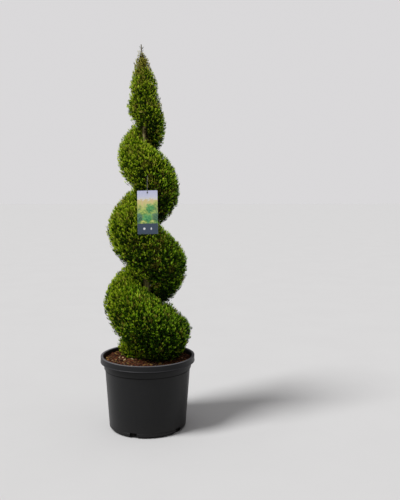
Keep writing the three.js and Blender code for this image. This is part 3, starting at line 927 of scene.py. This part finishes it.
def planted(name, kinds, finishes, stalk_finish):
    """Sets a small shape on each point by its aim, spin, size and kind, and deals out the finishes."""
    tree = Shaper(name, size=1.0)
    all_kinds = tree.nodes.new("GeometryNodeJoinGeometry")
    for kind in reversed(kinds):
        found = tree.node("GeometryNodeObjectInfo", {"Object": kind, "As Instance": True}, "Geometry")
        tree.links.new(found.socket, all_kinds.inputs[0])
    inputs = {"Vector": tree.attribute("aim", "FLOAT_VECTOR")}
    upright = tree.node("FunctionNodeAlignRotationToVector", inputs, axis="Z")
    inputs = {"Axis": (0, 0, 1), "Angle": tree.attribute("spin")}
    spin = tree.node("FunctionNodeAxisAngleToRotation", inputs)
    inputs = {"Rotation": upright, "Rotate By": spin}
    turn = tree.node("FunctionNodeRotateRotation", inputs, rotation_space="LOCAL")
    inputs = {
        "Points": tree.given(),
        "Instance": Value(tree, all_kinds.outputs[0]),
        "Pick Instance": True,
        "Instance Index": tree.attribute("kind", "INT"),
        "Rotation": turn,
        "Scale": tree.attribute("size") * tree.given("size"),
    }
    placed = tree.node("GeometryNodeInstanceOnPoints", inputs)
    index = tree.attribute("tint", "INT") + tree.attribute("shade", "INT")
    whole = tree.deal(tree.realized(placed), finishes, index)
    tree.result(tree.coat(whole, stalk_finish, tree.compare("GREATER_EQUAL", index, STALK_SHADE)))
    return tree


# %% [markdown]
# The sprays stand in three layers: the clipped face, one under it that fills its gaps, and a core round the
# trunk. The deeper layers are painted darker, as shade. Each spray leans away from its twig, out of the skin
# and up to the light, and a few stand proud of the shears. The layers stay open where the real plant shows its
# stem, and thin out along the leader.

# %% How each spray stands
# Each layer: least and most depth under the skin, size, how wild its aims are, how much painted shade darkens
# it and the kinds of spray in it
LAYERS = {
    "outer": (-0.0095, 0.0045, 1.0, 0.20, 0.0, (0, 0, 1)),
    "under": (0.0065, 0.0135, 1.15, 0.40, 2.2, (2, 3)),
    "core": (0.018, 0.050, 2.3, 0.60, 3.2, (2, 3)),
}
PROUD_SHARE = 0.07
LEADER = 0.055  # length of the nearly bare leader
LEADER_SHARE = 0.75  # how many sprays are left out along it
CLEARINGS = [(1.248, 0.036), (0.611, 0.018)]  # middle and half of the heights where the stem shows in front


def survey(points):
    """What the rule needs to know of each place on the skin."""
    places, facings, masses = points
    here = SimpleNamespace(places=places, facings=facings, masses=masses, count=len(places))
    here.height = places[:, 2]
    here.middles = trunk_middle(here.height)
    here.outward = units(places[:, :2] - here.middles)
    here.out = np.linalg.norm(places[:, :2] - here.middles, axis=1) - trunk_radius(here.height)
    here.twig = nearest(twig_tips[0], places)
    here.away = np.linalg.norm(places - twig_tips[0][here.twig], axis=1) / TWIG_APART
    here.in_spire = masses == SPIRE
    here.low = np.exp((SOIL_TOP - here.height) / FOOT_FADE)
    here.rise = (here.height - SOIL_TOP) / (TREE_TOP - SOIL_TOP)
    return here


def in_clearing(here):
    """Whether a place lies close before the stem where the sprays leave it open to view."""
    open_here = sum(np.abs(here.height - middle) < half for middle, half in CLEARINGS) > 0
    beside = np.abs(here.places[:, 0] - here.middles[:, 0]) < 0.017
    return open_here & beside & (here.places[:, 1] < here.middles[:, 1]) & (here.out < 0.045)


def aims_of(here, wildness):
    """Away from the twig, out of the skin, up and a little at random, but not flat against the skin."""
    fan_out = units(here.places - (twig_ends[here.twig] - twig_tips[1][here.twig] * 0.014))
    pull = np.where(here.in_spire, 1.5, 0.95)[:, None]
    wild = (wildness + 0.5 * here.low)[:, None]
    aims = units(0.25 * fan_out + here.facings + pull * UP + chance.normal(0, 1, (here.count, 3)) * wild)
    flat = np.clip(0.45 - (aims * here.facings).sum(1), 0, None)[:, None]
    return units(aims + 1.2 * flat * here.facings)


def depths_of(here, shallow, deep, is_outer):
    """How deep each spray's tip ends under the skin, and which ones stand proud of it."""
    depth = chance.uniform(shallow, deep, here.count) + here.low * chance.normal(0.002, 0.008, here.count)
    proud = (chance.random(here.count) < PROUD_SHARE) & is_outer
    if is_outer:
        depth += 0.004 * here.away ** 2
    depth[proud] = chance.uniform(-0.0125, -0.006, proud.sum())
    return np.minimum(depth, 0.55 * here.out), proud


# %% [markdown]
# A spray's tint carries its age and painted light and shade: it is paler near the top, painted paler where
# the skin faces up or towards the lamp, and painted darker inside, near the trunk, underneath, low down,
# facing the front, away from the twig tips and in two bands of painted shade, with soft patches and finer
# flecks at random. About half of the sprays are new growth and the rest old, which gives the speckled look of
# a clipped conifer.

# %% Which tint each spray takes
twig_tone = chance.normal(0, 0.30, len(twig_tips[0]))
LIGHT_TONE = 3.66
BRIGHT_SHARE = 0.50
BRIGHTER = 2.4
DULLER = -3.0
OLIVE_PATCH = 0.16
DRY_TOP = 0.45  # share of the spire's height above which every spray is olive
SHADED = [(0.80, 0.075), (1.335, 0.045)]  # middle and half of the heights of two bands of painted shade on the growth in front


def tints_of(here, darker):
    across, ahead, up = here.facings.T
    patch = np.array([noise.noise(place * 24) for place in here.places])
    fleck = np.array([noise.noise(place * 95 + UP * 7) for place in here.places])
    # Painted shade on the skin that faces the front.
    front = np.clip(-ahead, 0, 1) ** 2
    shaded = sum(np.exp(-((here.height - middle) / half) ** 2) for middle, half in SHADED)
    # Painted light and shade: paler facing up and towards the lamp on the left, darker underneath, near the
    # trunk, low down, facing the front, in the shaded bands and by the layer's painted darkness. Patches,
    # flecks, twigs and chance add tone at random, and the rise makes the growth paler near the top.
    tone = LIGHT_TONE + 1.6 * up - 0.4 * across + 1.2 * np.minimum(up + 0.1, 0)
    tone += 0.1 * here.in_spire - 0.1 * here.low - 2.0 * np.exp(-here.out / 0.030)
    tone += 0.7 * patch + 0.4 * fleck + twig_tone[here.twig] + chance.normal(0, 0.8, here.count) - darker
    tone += 1.7 * (here.rise - 0.45) - (0.6 + 0.6 * shaded) * front
    # More bright sprays where painted light falls, facing up and towards the lamp, near the top and at the
    # foot, and fewer in the painted shade in front.
    sunny = 0.20 * up - 0.07 * across + 0.24 * (here.rise - 0.42)
    bright_share = BRIGHT_SHARE + sunny + 0.5 * here.low - (0.11 + 0.10 * shaded) * front
    tone += np.where(chance.random(here.count) < bright_share, BRIGHTER, DULLER)
    # Painted shade between tufts: darker away from the twig tips.
    tint = np.clip(np.round(tone - 0.3 * here.away), 0, 4).astype(int)
    up_spire = (here.height + chance.normal(0, 0.02, here.count) - SPIRE_FLOOR) / (TREE_TOP - SPIRE_FLOOR)
    olive_share = np.clip(0.9 * (patch - OLIVE_PATCH) + 0.16 * front + 0.16 * here.rise, 0, 0.5)
    olive = (here.in_spire & (up_spire > DRY_TOP)) | (chance.random(here.count) < olive_share)
    tint[olive] = FIRST_OLIVE + np.clip(tint[olive] - 1, 0, 2)
    # Painted shade in hue: cooler greens on the skin that faces away from the lamp and down, and more of them
    # lower on the plant.
    pure_share = 0.30 + 0.7 * across - 0.4 * up + 1.3 * (0.45 - here.rise) - here.low
    tint[~olive & (chance.random(here.count) < pure_share)] += FIRST_PURE
    return tint


# %% [markdown]
# Now the sprays grow, a layer at a time. The Geometry Nodes tree then plants the sprays of one mass at a
# time, so that each mass of foliage is a piece of its own. The leader gets slim shoots on both sides.

# %% Sprays
def grow(points, layer):
    """The sprays that end at these points, without those that point at the trunk or stand in a clearing."""
    shallow, deep, scale, wildness, darker, kinds = LAYERS[layer]
    here = survey(points)
    aims = aims_of(here, wildness)
    sizes = chance.uniform(0.75, 1.15, here.count) * np.where(here.in_spire, 0.78, 0.92)
    sizes = np.minimum(sizes * scale, 0.22 + 0.72 * here.out / SPRAY_LENGTH)
    depth, proud = depths_of(here, shallow, deep, layer == "outer")
    aims[proud] = units(aims[proud] + 0.7 * UP)
    tips = here.places - here.facings * depth[:, None]
    feet = tips - aims * SPRAY_LENGTH * sizes[:, None]
    tint = tints_of(here, darker)
    bare = here.in_spire & (here.height > TREE_TOP - LEADER)
    thin = bare & (chance.random(here.count) < LEADER_SHARE)
    inward = (aims[:, :2] * here.outward).sum(1) < -0.35
    print(layer, "sprays left out because they point at the trunk:", inward.sum())
    keep = (here.out > 0.010) & ~in_clearing(here) & ~thin & ~inward
    kind = chance.choice(kinds, here.count)
    kind[proud] = SHOOT_KIND
    spin = chance.uniform(0, math.tau, here.count)
    grown = {"foot": feet, "aim": aims, "size": sizes, "kind": kind, "spin": spin, "tint": tint}
    grown["mass"] = here.masses
    return {key: value[keep] for key, value in grown.items()}


def leader_shoots():
    """Slender shoots that rise from both sides of the leader, shorter towards its tip."""
    reach = 0.084
    heights = np.arange(TREE_TOP - reach, TREE_TOP - 0.016, 0.0052)
    count = len(heights)
    angle = np.arange(count) * math.pi + chance.normal(0, 0.4, count)
    outward = np.stack([np.cos(angle), np.sin(angle), np.full(count, 1.3)], axis=1)
    return {
        "foot": np.column_stack([trunk_middle(heights), heights]),
        "aim": units(outward + chance.normal(0, 0.12, (count, 3))),
        "size": (0.80 + 0.50 * (TREE_TOP - heights) / reach) * chance.uniform(0.9, 1.1, count),
        "kind": np.full(count, SHOOT_KIND),
        "spin": chance.uniform(0, math.tau, count),
        "tint": np.zeros(count, int),
        "mass": np.full(count, SPIRE),
    }


def point_mesh(grown, chosen):
    """A mesh of bare points that carry what each spray needs to know."""
    mesh = plain_mesh("points", grown["foot"][chosen].tolist())
    carry(mesh, "aim", "FLOAT_VECTOR", "POINT", grown["aim"][chosen].ravel())
    for key, kind in (("size", "FLOAT"), ("spin", "FLOAT"), ("kind", "INT"), ("tint", "INT")):
        carry(mesh, key, kind, "POINT", grown[key][chosen])
    return mesh


layers = [grow(outer, "outer"), grow(under, "under"), grow(core, "core"), leader_shoots()]
grown = {key: np.concatenate([layer[key] for layer in layers]) for key in layers[0]}
spray_tree = planted("sprays", KINDS, tints, twig_bark)
for number, name in enumerate(MASSES):
    leaves = spray_tree.shape(point_mesh(grown, grown["mass"] == number))
    add_piece("sprays_" + name, leaves, "spire_foliage" if number == SPIRE else "foliage", name)

# %% [markdown]
# The pot is filled with bark compost: one spun shape, a little uneven on top. Its finish is dark and crumbly,
# with a coarse relief, and nearly black lower down, where only the notches could show it.

# %% Soil
SOIL_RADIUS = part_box("soil")[1].x
SOIL_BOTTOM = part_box("soil")[0].z
SOIL_RINGS = 40
SOIL_SEGMENTS = 150


def soil_height(x, y):
    """Height of the soil's surface: uneven, a little heaped at the trunk and sunk at the wall."""
    reach = math.hypot(x, y)
    uneven = 0.0022 * noise.noise((x * 38, y * 38, 1)) + 0.0011 * noise.noise((x * 120, y * 120, 4))
    heap = 0.0020 * math.exp(-((reach / 0.05) ** 2))
    sunk = 0.0025 * math.exp(-((SOIL_RADIUS - reach) / 0.012))
    return SOIL_TOP + uneven + heap - sunk - 0.0006


def soil_body():
    """The compost as one closed body, with a finer mesh on top."""
    outline = [(0, SOIL_BOTTOM), (0.146, SOIL_BOTTOM), (0.155, 0.016)]
    outline += [(SHOULDER_RADIUS - WALL - 0.0006, NECK_FOOT), (SOIL_RADIUS - 0.002, NECK_FOOT + 0.006)]
    outline.append((SOIL_RADIUS, SOIL_TOP - 0.006))
    outline += [(SOIL_RADIUS * (1 - i / SOIL_RINGS), SOIL_TOP) for i in range(SOIL_RINGS + 1)]
    mesh = turned("soil_body", outline, SOIL_SEGMENTS)
    for vertex in mesh.vertices:
        if vertex.co.z > SOIL_TOP - 0.001:
            vertex.co.z = soil_height(vertex.co.x, vertex.co.y)
    return mesh


def compost():
    """Damp bark compost: dark, crumbly, warmer where it has dried."""
    finish = Finish("compost", Roughness=0.95, Specular_IOR_Level=0.15)
    crumbs = finish.noise(420, 5, 0.7)
    dark = finish.mix(finish.noise(30, 3), (0.026, 0.010, 0.005), (0.050, 0.020, 0.009))
    brown = finish.mix(crumbs, dark, (0.095, 0.042, 0.018))
    # Nearly black lower down in the pot.
    low_in_pot = finish.fade(finish.height(), 0.24, 0.10)
    finish.drive(Base_Color=finish.mix(low_in_pot, brown, (0.004, 0.003, 0.002)))
    finish.relief(crumbs, 0.004)
    return finish.material


soil_mesh = coated(soil_body(), compost())
add_piece("soil_body", smooth_mesh(soil_mesh, 50), "soil", "soil")

# %% [markdown]
# The soil's look comes from the loose pieces that lie on it: flat slabs of bark, splinters, crumbs and a few
# pale grains. They are scattered evenly over the top and laid down at random by the tree that plants the
# sprays, in the few browns that wet and dry bark have. Their chance has a seeded source of its own.

# %% Loose pieces on the soil
shapes = np.random.default_rng(77)


def lump_kind(name, length, width, height, is_round):
    """A loose piece, in millimetres: a box with its corners knocked about, or a rough ball."""
    work = bmesh.new()
    if is_round:
        bmesh.ops.create_icosphere(work, subdivisions=1, radius=0.5)
    else:
        bmesh.ops.create_cube(work, size=1)
        lengthwise = [edge for edge in work.edges if abs(edge.verts[0].co.x - edge.verts[1].co.x) > 0.5]
        bmesh.ops.subdivide_edges(work, edges=lengthwise)
    for vertex in work.verts:
        jog = shapes.uniform(0.72, 1.15, 3)
        vertex.co = [place * size * by for place, size, by in zip(vertex.co, (length, width, height), jog)]
        vertex.co *= MILLIMETRE
    bmesh.ops.triangulate(work, faces=work.faces)
    mesh = bpy.data.meshes.new(name)
    work.to_mesh(mesh)
    work.free()
    carry(mesh, "shade", "INT", "FACE", [0] * len(mesh.polygons))
    return bpy.data.objects.new(name, mesh)


LUMPS = [
    lump_kind("slab", 13, 7, 2.4, False),
    lump_kind("chunk", 9, 7, 4, False),
    lump_kind("splinter", 14, 3, 1.8, False),
    lump_kind("flake", 8, 6, 1.4, False),
    lump_kind("crumb", 4.6, 4, 3.2, True),
    lump_kind("crumblet", 3.2, 3, 2.6, True),
    lump_kind("grain", 8.5, 7, 5.5, True),
]
SLAB, CHUNK, SPLINTER, FLAKE, CRUMB, CRUMBLET, GRAIN = range(len(LUMPS))
# Each brown: its name, its colour and its share of the pieces
BROWNS = [
    ("wet_bark", (0.030, 0.011, 0.006), 0.35),
    ("red_bark", (0.120, 0.036, 0.014), 0.31),
    ("brown_bark", (0.075, 0.034, 0.014), 0.15),
    ("tan_bark", (0.165, 0.078, 0.036), 0.09),
    ("dry_bark", (0.250, 0.145, 0.080), 0.03),
    ("ochre_chip", (0.300, 0.190, 0.045), 0.063),
    ("cream_grain", (0.760, 0.590, 0.340), 0.007),
]
CREAM = len(BROWNS) - 1


def soil_litter(apart, seed, kinds, sizes):
    """Points on the soil's top that carry what each loose piece needs to know."""
    top = soil_mesh.copy()
    with editing(top) as work:
        beneath = [face for face in work.faces if face.calc_center_median().z < SOIL_TOP - 0.005]
        bmesh.ops.delete(work, geom=beneath, context="FACES")
    carry(top, "mass", "INT", "FACE", [0] * len(top.polygons))
    places = read_points(scatter.shape(top, apart=apart, seed=seed))[0]
    places = places[np.linalg.norm(places[:, :2], axis=1) < SOIL_RADIUS - 0.005]
    count = len(places)
    aims = units(UP + shapes.normal(0, 0.30, (count, 3)))
    tint = shapes.choice(len(BROWNS), count, p=[share for _, _, share in BROWNS])
    kind = shapes.choice(kinds, count)
    size = shapes.uniform(*sizes, count)
    kind[tint == CREAM] = GRAIN
    places[:, 2] += shapes.uniform(0.0002, 0.0016, count)
    spin = shapes.uniform(0, math.tau, count)
    return {"foot": places, "aim": aims, "size": size, "spin": spin, "kind": kind, "tint": tint}


browns = [plain_finish(name, colour, 0.9, 0.15) for name, colour, _ in BROWNS]
litter_tree = planted("litter", LUMPS, browns, browns[0])
chips = soil_litter(0.0062, 5, [SLAB, SLAB, CHUNK, SPLINTER, FLAKE, FLAKE], (0.65, 1.25))
crumbs = soil_litter(0.0042, 8, [CRUMB, CRUMBLET, CRUMBLET, FLAKE], (0.6, 1.2))
loose = {key: np.concatenate([chips[key], crumbs[key]]) for key in chips}
add_piece("bark_chips", litter_tree.shape(point_mesh(loose, slice(None))), "soil")

# %% [markdown]
# The label is a stiff printed card with one punched hole, on a loop of thread. Its outline is a flat curve
# with a hole, made into a mesh with a little thickness, and laid in the label's own frame: it leans out at
# the bottom over the turn below and hangs slightly askew. The front gets its own finish.

# %% Label
LABEL_WIDTH = 0.081
LABEL_HEIGHT = 0.174
LABEL_THICKNESS = 0.001
LABEL_CORNER = 0.003
LABEL_BEVEL = 0.0001
HOLE_RADIUS = 0.003
HOLE_BELOW_TOP = 0.009
LABEL_TOP_MIDDLE = Vector((0.008, -0.1345, 0.990))
LABEL_LEAN = math.radians(-7.4)
LABEL_ROLL = math.radians(-1.3)
label_turn = Matrix.Rotation(LABEL_ROLL, 4, "Y") @ Matrix.Rotation(LABEL_LEAN, 4, "X")
label_frame = Matrix.Translation(LABEL_TOP_MIDDLE) @ label_turn


def closed_line(curve, points):
    line = curve.splines.new("POLY")
    line.points.add(len(points) - 1)
    for spot, (x, y) in zip(line.points, points):
        spot.co = (x, y, 0, 1)
    line.use_cyclic_u = True


def arc(middle_x, middle_y, radius, first, last, steps):
    angles = [math.radians(first + (last - first) * i / steps) for i in range(steps + 1)]
    return [(middle_x + radius * math.cos(a), middle_y + radius * math.sin(a)) for a in angles]


def card_mesh():
    """The card in its own frame: it hangs down from the origin, with its face towards -Y."""
    side = LABEL_WIDTH / 2 - LABEL_CORNER
    low = LABEL_CORNER - LABEL_HEIGHT
    outline = []
    corners = [(side, -LABEL_CORNER, 90), (side, low, 0), (-side, low, -90), (-side, -LABEL_CORNER, 180)]
    for x, y, first in corners:
        outline += arc(x, y, LABEL_CORNER, first, first - 90, 6)
    curve = bpy.data.curves.new("card", "CURVE")
    curve.dimensions = "2D"
    curve.fill_mode = "BOTH"
    curve.extrude = LABEL_THICKNESS / 2 - LABEL_BEVEL
    curve.bevel_depth = LABEL_BEVEL
    curve.offset = -LABEL_BEVEL
    closed_line(curve, outline)
    closed_line(curve, arc(0, -HOLE_BELOW_TOP, HOLE_RADIUS, 0, 345, 23))
    mesh = settled(put("card", curve))
    mesh.transform(Matrix.Rotation(math.pi / 2, 4, "X"))
    return mesh


def print_coordinates(mesh):
    """A UV map from the card's lower left corner, 1 wide and 1 high."""
    layer = mesh.uv_layers.new(name="print")
    for loop in mesh.loops:
        point = mesh.vertices[loop.vertex_index].co
        layer.data[loop.index].uv = (point.x / LABEL_WIDTH + 0.5, 1 + point.z / LABEL_HEIGHT)


# %% [markdown]
# The print is a made-up garden view, in the soft lilacs, yellows and greens that plant labels have: a pale
# sky, a sunny lawn, a few round shrubs, and a slate band at the foot with plain marks for sun and water. It
# is drawn with distances in the card's own coordinates, with noise for the leaves. It has no words.

# %% Printed card
SKY = ((0.76, (0.72, 0.70, 0.62)), (0.86, (0.60, 0.61, 0.74)), (1.0, (0.52, 0.54, 0.74)))
LAWN = (
    (0.30, (0.16, 0.32, 0.08)), (0.50, (0.42, 0.54, 0.15)), (0.66, (0.62, 0.58, 0.24)),
    (0.78, (0.66, 0.52, 0.26)),
)
BAND_TOP = 0.243
BAND_SLATE = (0.060, 0.082, 0.118)
MARK_GREY = (0.70, 0.72, 0.74)
# Each shrub: where its middle is across and up, half its width and height, and its light and dark leaves
SHRUBS = [
    (0.92, 0.64, 0.17, 0.11, (0.44, 0.52, 0.15), (0.10, 0.22, 0.08)),
    (0.06, 0.60, 0.16, 0.09, (0.54, 0.54, 0.16), (0.16, 0.26, 0.10)),
    (0.62, 0.58, 0.22, 0.11, (0.14, 0.40, 0.13), (0.03, 0.16, 0.07)),
    (0.30, 0.49, 0.19, 0.09, (0.46, 0.56, 0.14), (0.09, 0.26, 0.08)),
    (0.08, 0.37, 0.18, 0.11, (0.14, 0.26, 0.16), (0.03, 0.09, 0.08)),
    (0.90, 0.38, 0.18, 0.11, (0.14, 0.26, 0.14), (0.03, 0.09, 0.07)),
    (0.48, 0.36, 0.22, 0.09, (0.15, 0.42, 0.15), (0.03, 0.18, 0.09)),
    (0.28, 0.27, 0.14, 0.04, (0.60, 0.62, 0.18), (0.16, 0.30, 0.08)),
    (0.74, 0.27, 0.13, 0.04, (0.54, 0.60, 0.18), (0.12, 0.26, 0.08)),
]


def printed_card():
    finish = Finish("printed_card", Roughness=0.32, Specular_IOR_Level=0.35)
    uv = finish.node("ShaderNodeUVMap", uv_map="print")
    across = finish.part(uv, "X")
    up = finish.part(uv, "Y")
    tall = LABEL_HEIGHT / LABEL_WIDTH
    round_uv = finish.node("ShaderNodeMapping", {"Vector": uv, "Scale": (1, tall, 1)})
    dabs = finish.noise(10, 3, 0.75, round_uv)
    blots = finish.noise(6, 3, 0.6, round_uv)

    def edge(value, soft):
        """0 below nought and 1 above it, over a soft step."""
        return finish.fade(value, -soft, soft)

    sky = finish.ramp(up + (blots - 0.5) * 0.05, *SKY)
    lawn = finish.ramp(up + (dabs - 0.5) * 0.9, *LAWN)
    picture = finish.mix(edge(0.79 + (blots - 0.5) * 0.30 - up, 0.015), sky, lawn)
    for middle, middle_up, wide, high, light, dark in SHRUBS:
        x = (across - middle) / wide
        y = (up - middle_up) / high
        leaves = finish.mix(edge(y * 0.5 - x * 0.3 + (dabs - 0.5) * 9.0, 0.6), dark, light)
        ragged = 1 - x * x - y * y + (dabs - 0.5) * 6.0 + (blots - 0.5) * 2.0
        picture = finish.mix(edge(ragged, 0.12), picture, leaves)
    band = edge(BAND_TOP - up, 0.002)
    picture = finish.mix(band, picture, BAND_SLATE)
    y = up - 0.125
    x = (across - 0.33) * LABEL_WIDTH / LABEL_HEIGHT
    sun = edge(0.026 - finish.math("SQRT", x * x + y * y), 0.002)
    x = (across - 0.67) * LABEL_WIDTH / LABEL_HEIGHT
    point = finish.math("MAXIMUM", 2.2 + y * 30, 0.4)
    drop = edge(0.023 - finish.math("SQRT", x * x * point + y * y * 0.7), 0.002)
    marks = finish.math("MAXIMUM", sun, drop)
    finish.drive(Base_Color=finish.mix(marks * band, picture, MARK_GREY))
    finish.relief(finish.noise(900, 2), 0.00004)
    return finish.material


white_card = fine_finish("white_card", 1400, 3, (0.70, 0.70, 0.68), (0.78, 0.78, 0.76), 0.5, 0.3)
label_mesh = coated(card_mesh(), printed_card(), white_card)
print_coordinates(label_mesh)
for face in label_mesh.polygons:
    face.material_index = 0 if face.normal.y < -0.9 else 1
label_mesh.transform(label_frame)
add_piece("label_card", smooth_mesh(label_mesh, 30), "label", "label")

# %% [markdown]
# The thread comes out of the foliage, passes through the hole from the front and goes back up behind. It is
# two thin plies laid round each other, and each ply is a tube along a spiral about the loop's own line.

# %% Thread
THREAD_RADIUS = 0.0007
TOUCH = 0.0003
THREAD_END = Vector((0.0075, -0.1184, 1.050))
ENDS_APART = 0.0024
PLY_PITCH = 0.0034
THREAD_STEP = 0.0003


def thread_line():
    """The points that the loop runs through, as in the CAD model."""
    reach = LABEL_THICKNESS / 2 + TOUCH + THREAD_RADIUS
    hole_top = HOLE_RADIUS - HOLE_BELOW_TOP
    behind = [(reach + 0.0001, 0.002), (reach + 0.0001, hole_top + 0.0006)]
    behind.append((reach - 0.0002, hole_top - 0.00065))
    in_front = [(-depth, height) for depth, height in behind]
    bend = in_front + [(0, hole_top - TOUCH - THREAD_RADIUS)] + behind[::-1]
    line = [label_frame @ Vector((0, depth, height)) for depth, height in bend]
    aside = Vector((ENDS_APART / 2, 0, 0))
    return [THREAD_END - aside, *line, THREAD_END + aside]


def flowing(points, step):
    """Points at even steps along a smooth curve through the given ones."""
    curve = bpy.data.curves.new("flow", "CURVE")
    curve.dimensions = "3D"
    line = curve.splines.new("BEZIER")
    line.bezier_points.add(len(points) - 1)
    for spot, point in zip(line.bezier_points, points):
        spot.co = point
        spot.handle_left_type = spot.handle_right_type = "AUTO"
    line.resolution_u = 40
    dense = np.array([vertex.co for vertex in settled(put("flow", curve)).vertices])
    run = np.concatenate([[0], np.cumsum(np.linalg.norm(np.diff(dense, axis=0), axis=1))])
    at = np.arange(0, run[-1], step)
    return np.stack([np.interp(at, run, dense[:, axis]) for axis in range(3)], axis=-1)


def plies_mesh():
    line = flowing(thread_line(), THREAD_STEP)
    along = units(np.gradient(line, axis=0))
    side = units(np.cross(along, (0.0, 1.0, 0.3)))
    other = np.cross(along, side)
    angle = np.arange(len(line)) * THREAD_STEP / PLY_PITCH * math.tau
    plies = []
    for start in (0, math.pi):
        swing = np.cos(angle + start)[:, None] * side + np.sin(angle + start)[:, None] * other
        plies.append(line + swing * THREAD_RADIUS / 2)
    print("thread", round(len(line) * THREAD_STEP, 3), "m long")
    return limb_mesh("plies", np.array(plies), np.full(2, THREAD_RADIUS * 0.52), THREAD_RADIUS * 0.52)


fibre = fine_finish("thread_fibre", 5200, 2, (0.13, 0.13, 0.12), (0.26, 0.26, 0.24), 0.45, 0.4)
thread_mesh = limbs(fibre).shape(plies_mesh(), sides=6)
add_piece("thread_plies", smooth_mesh(thread_mesh, 60), "thread", "label_thread")
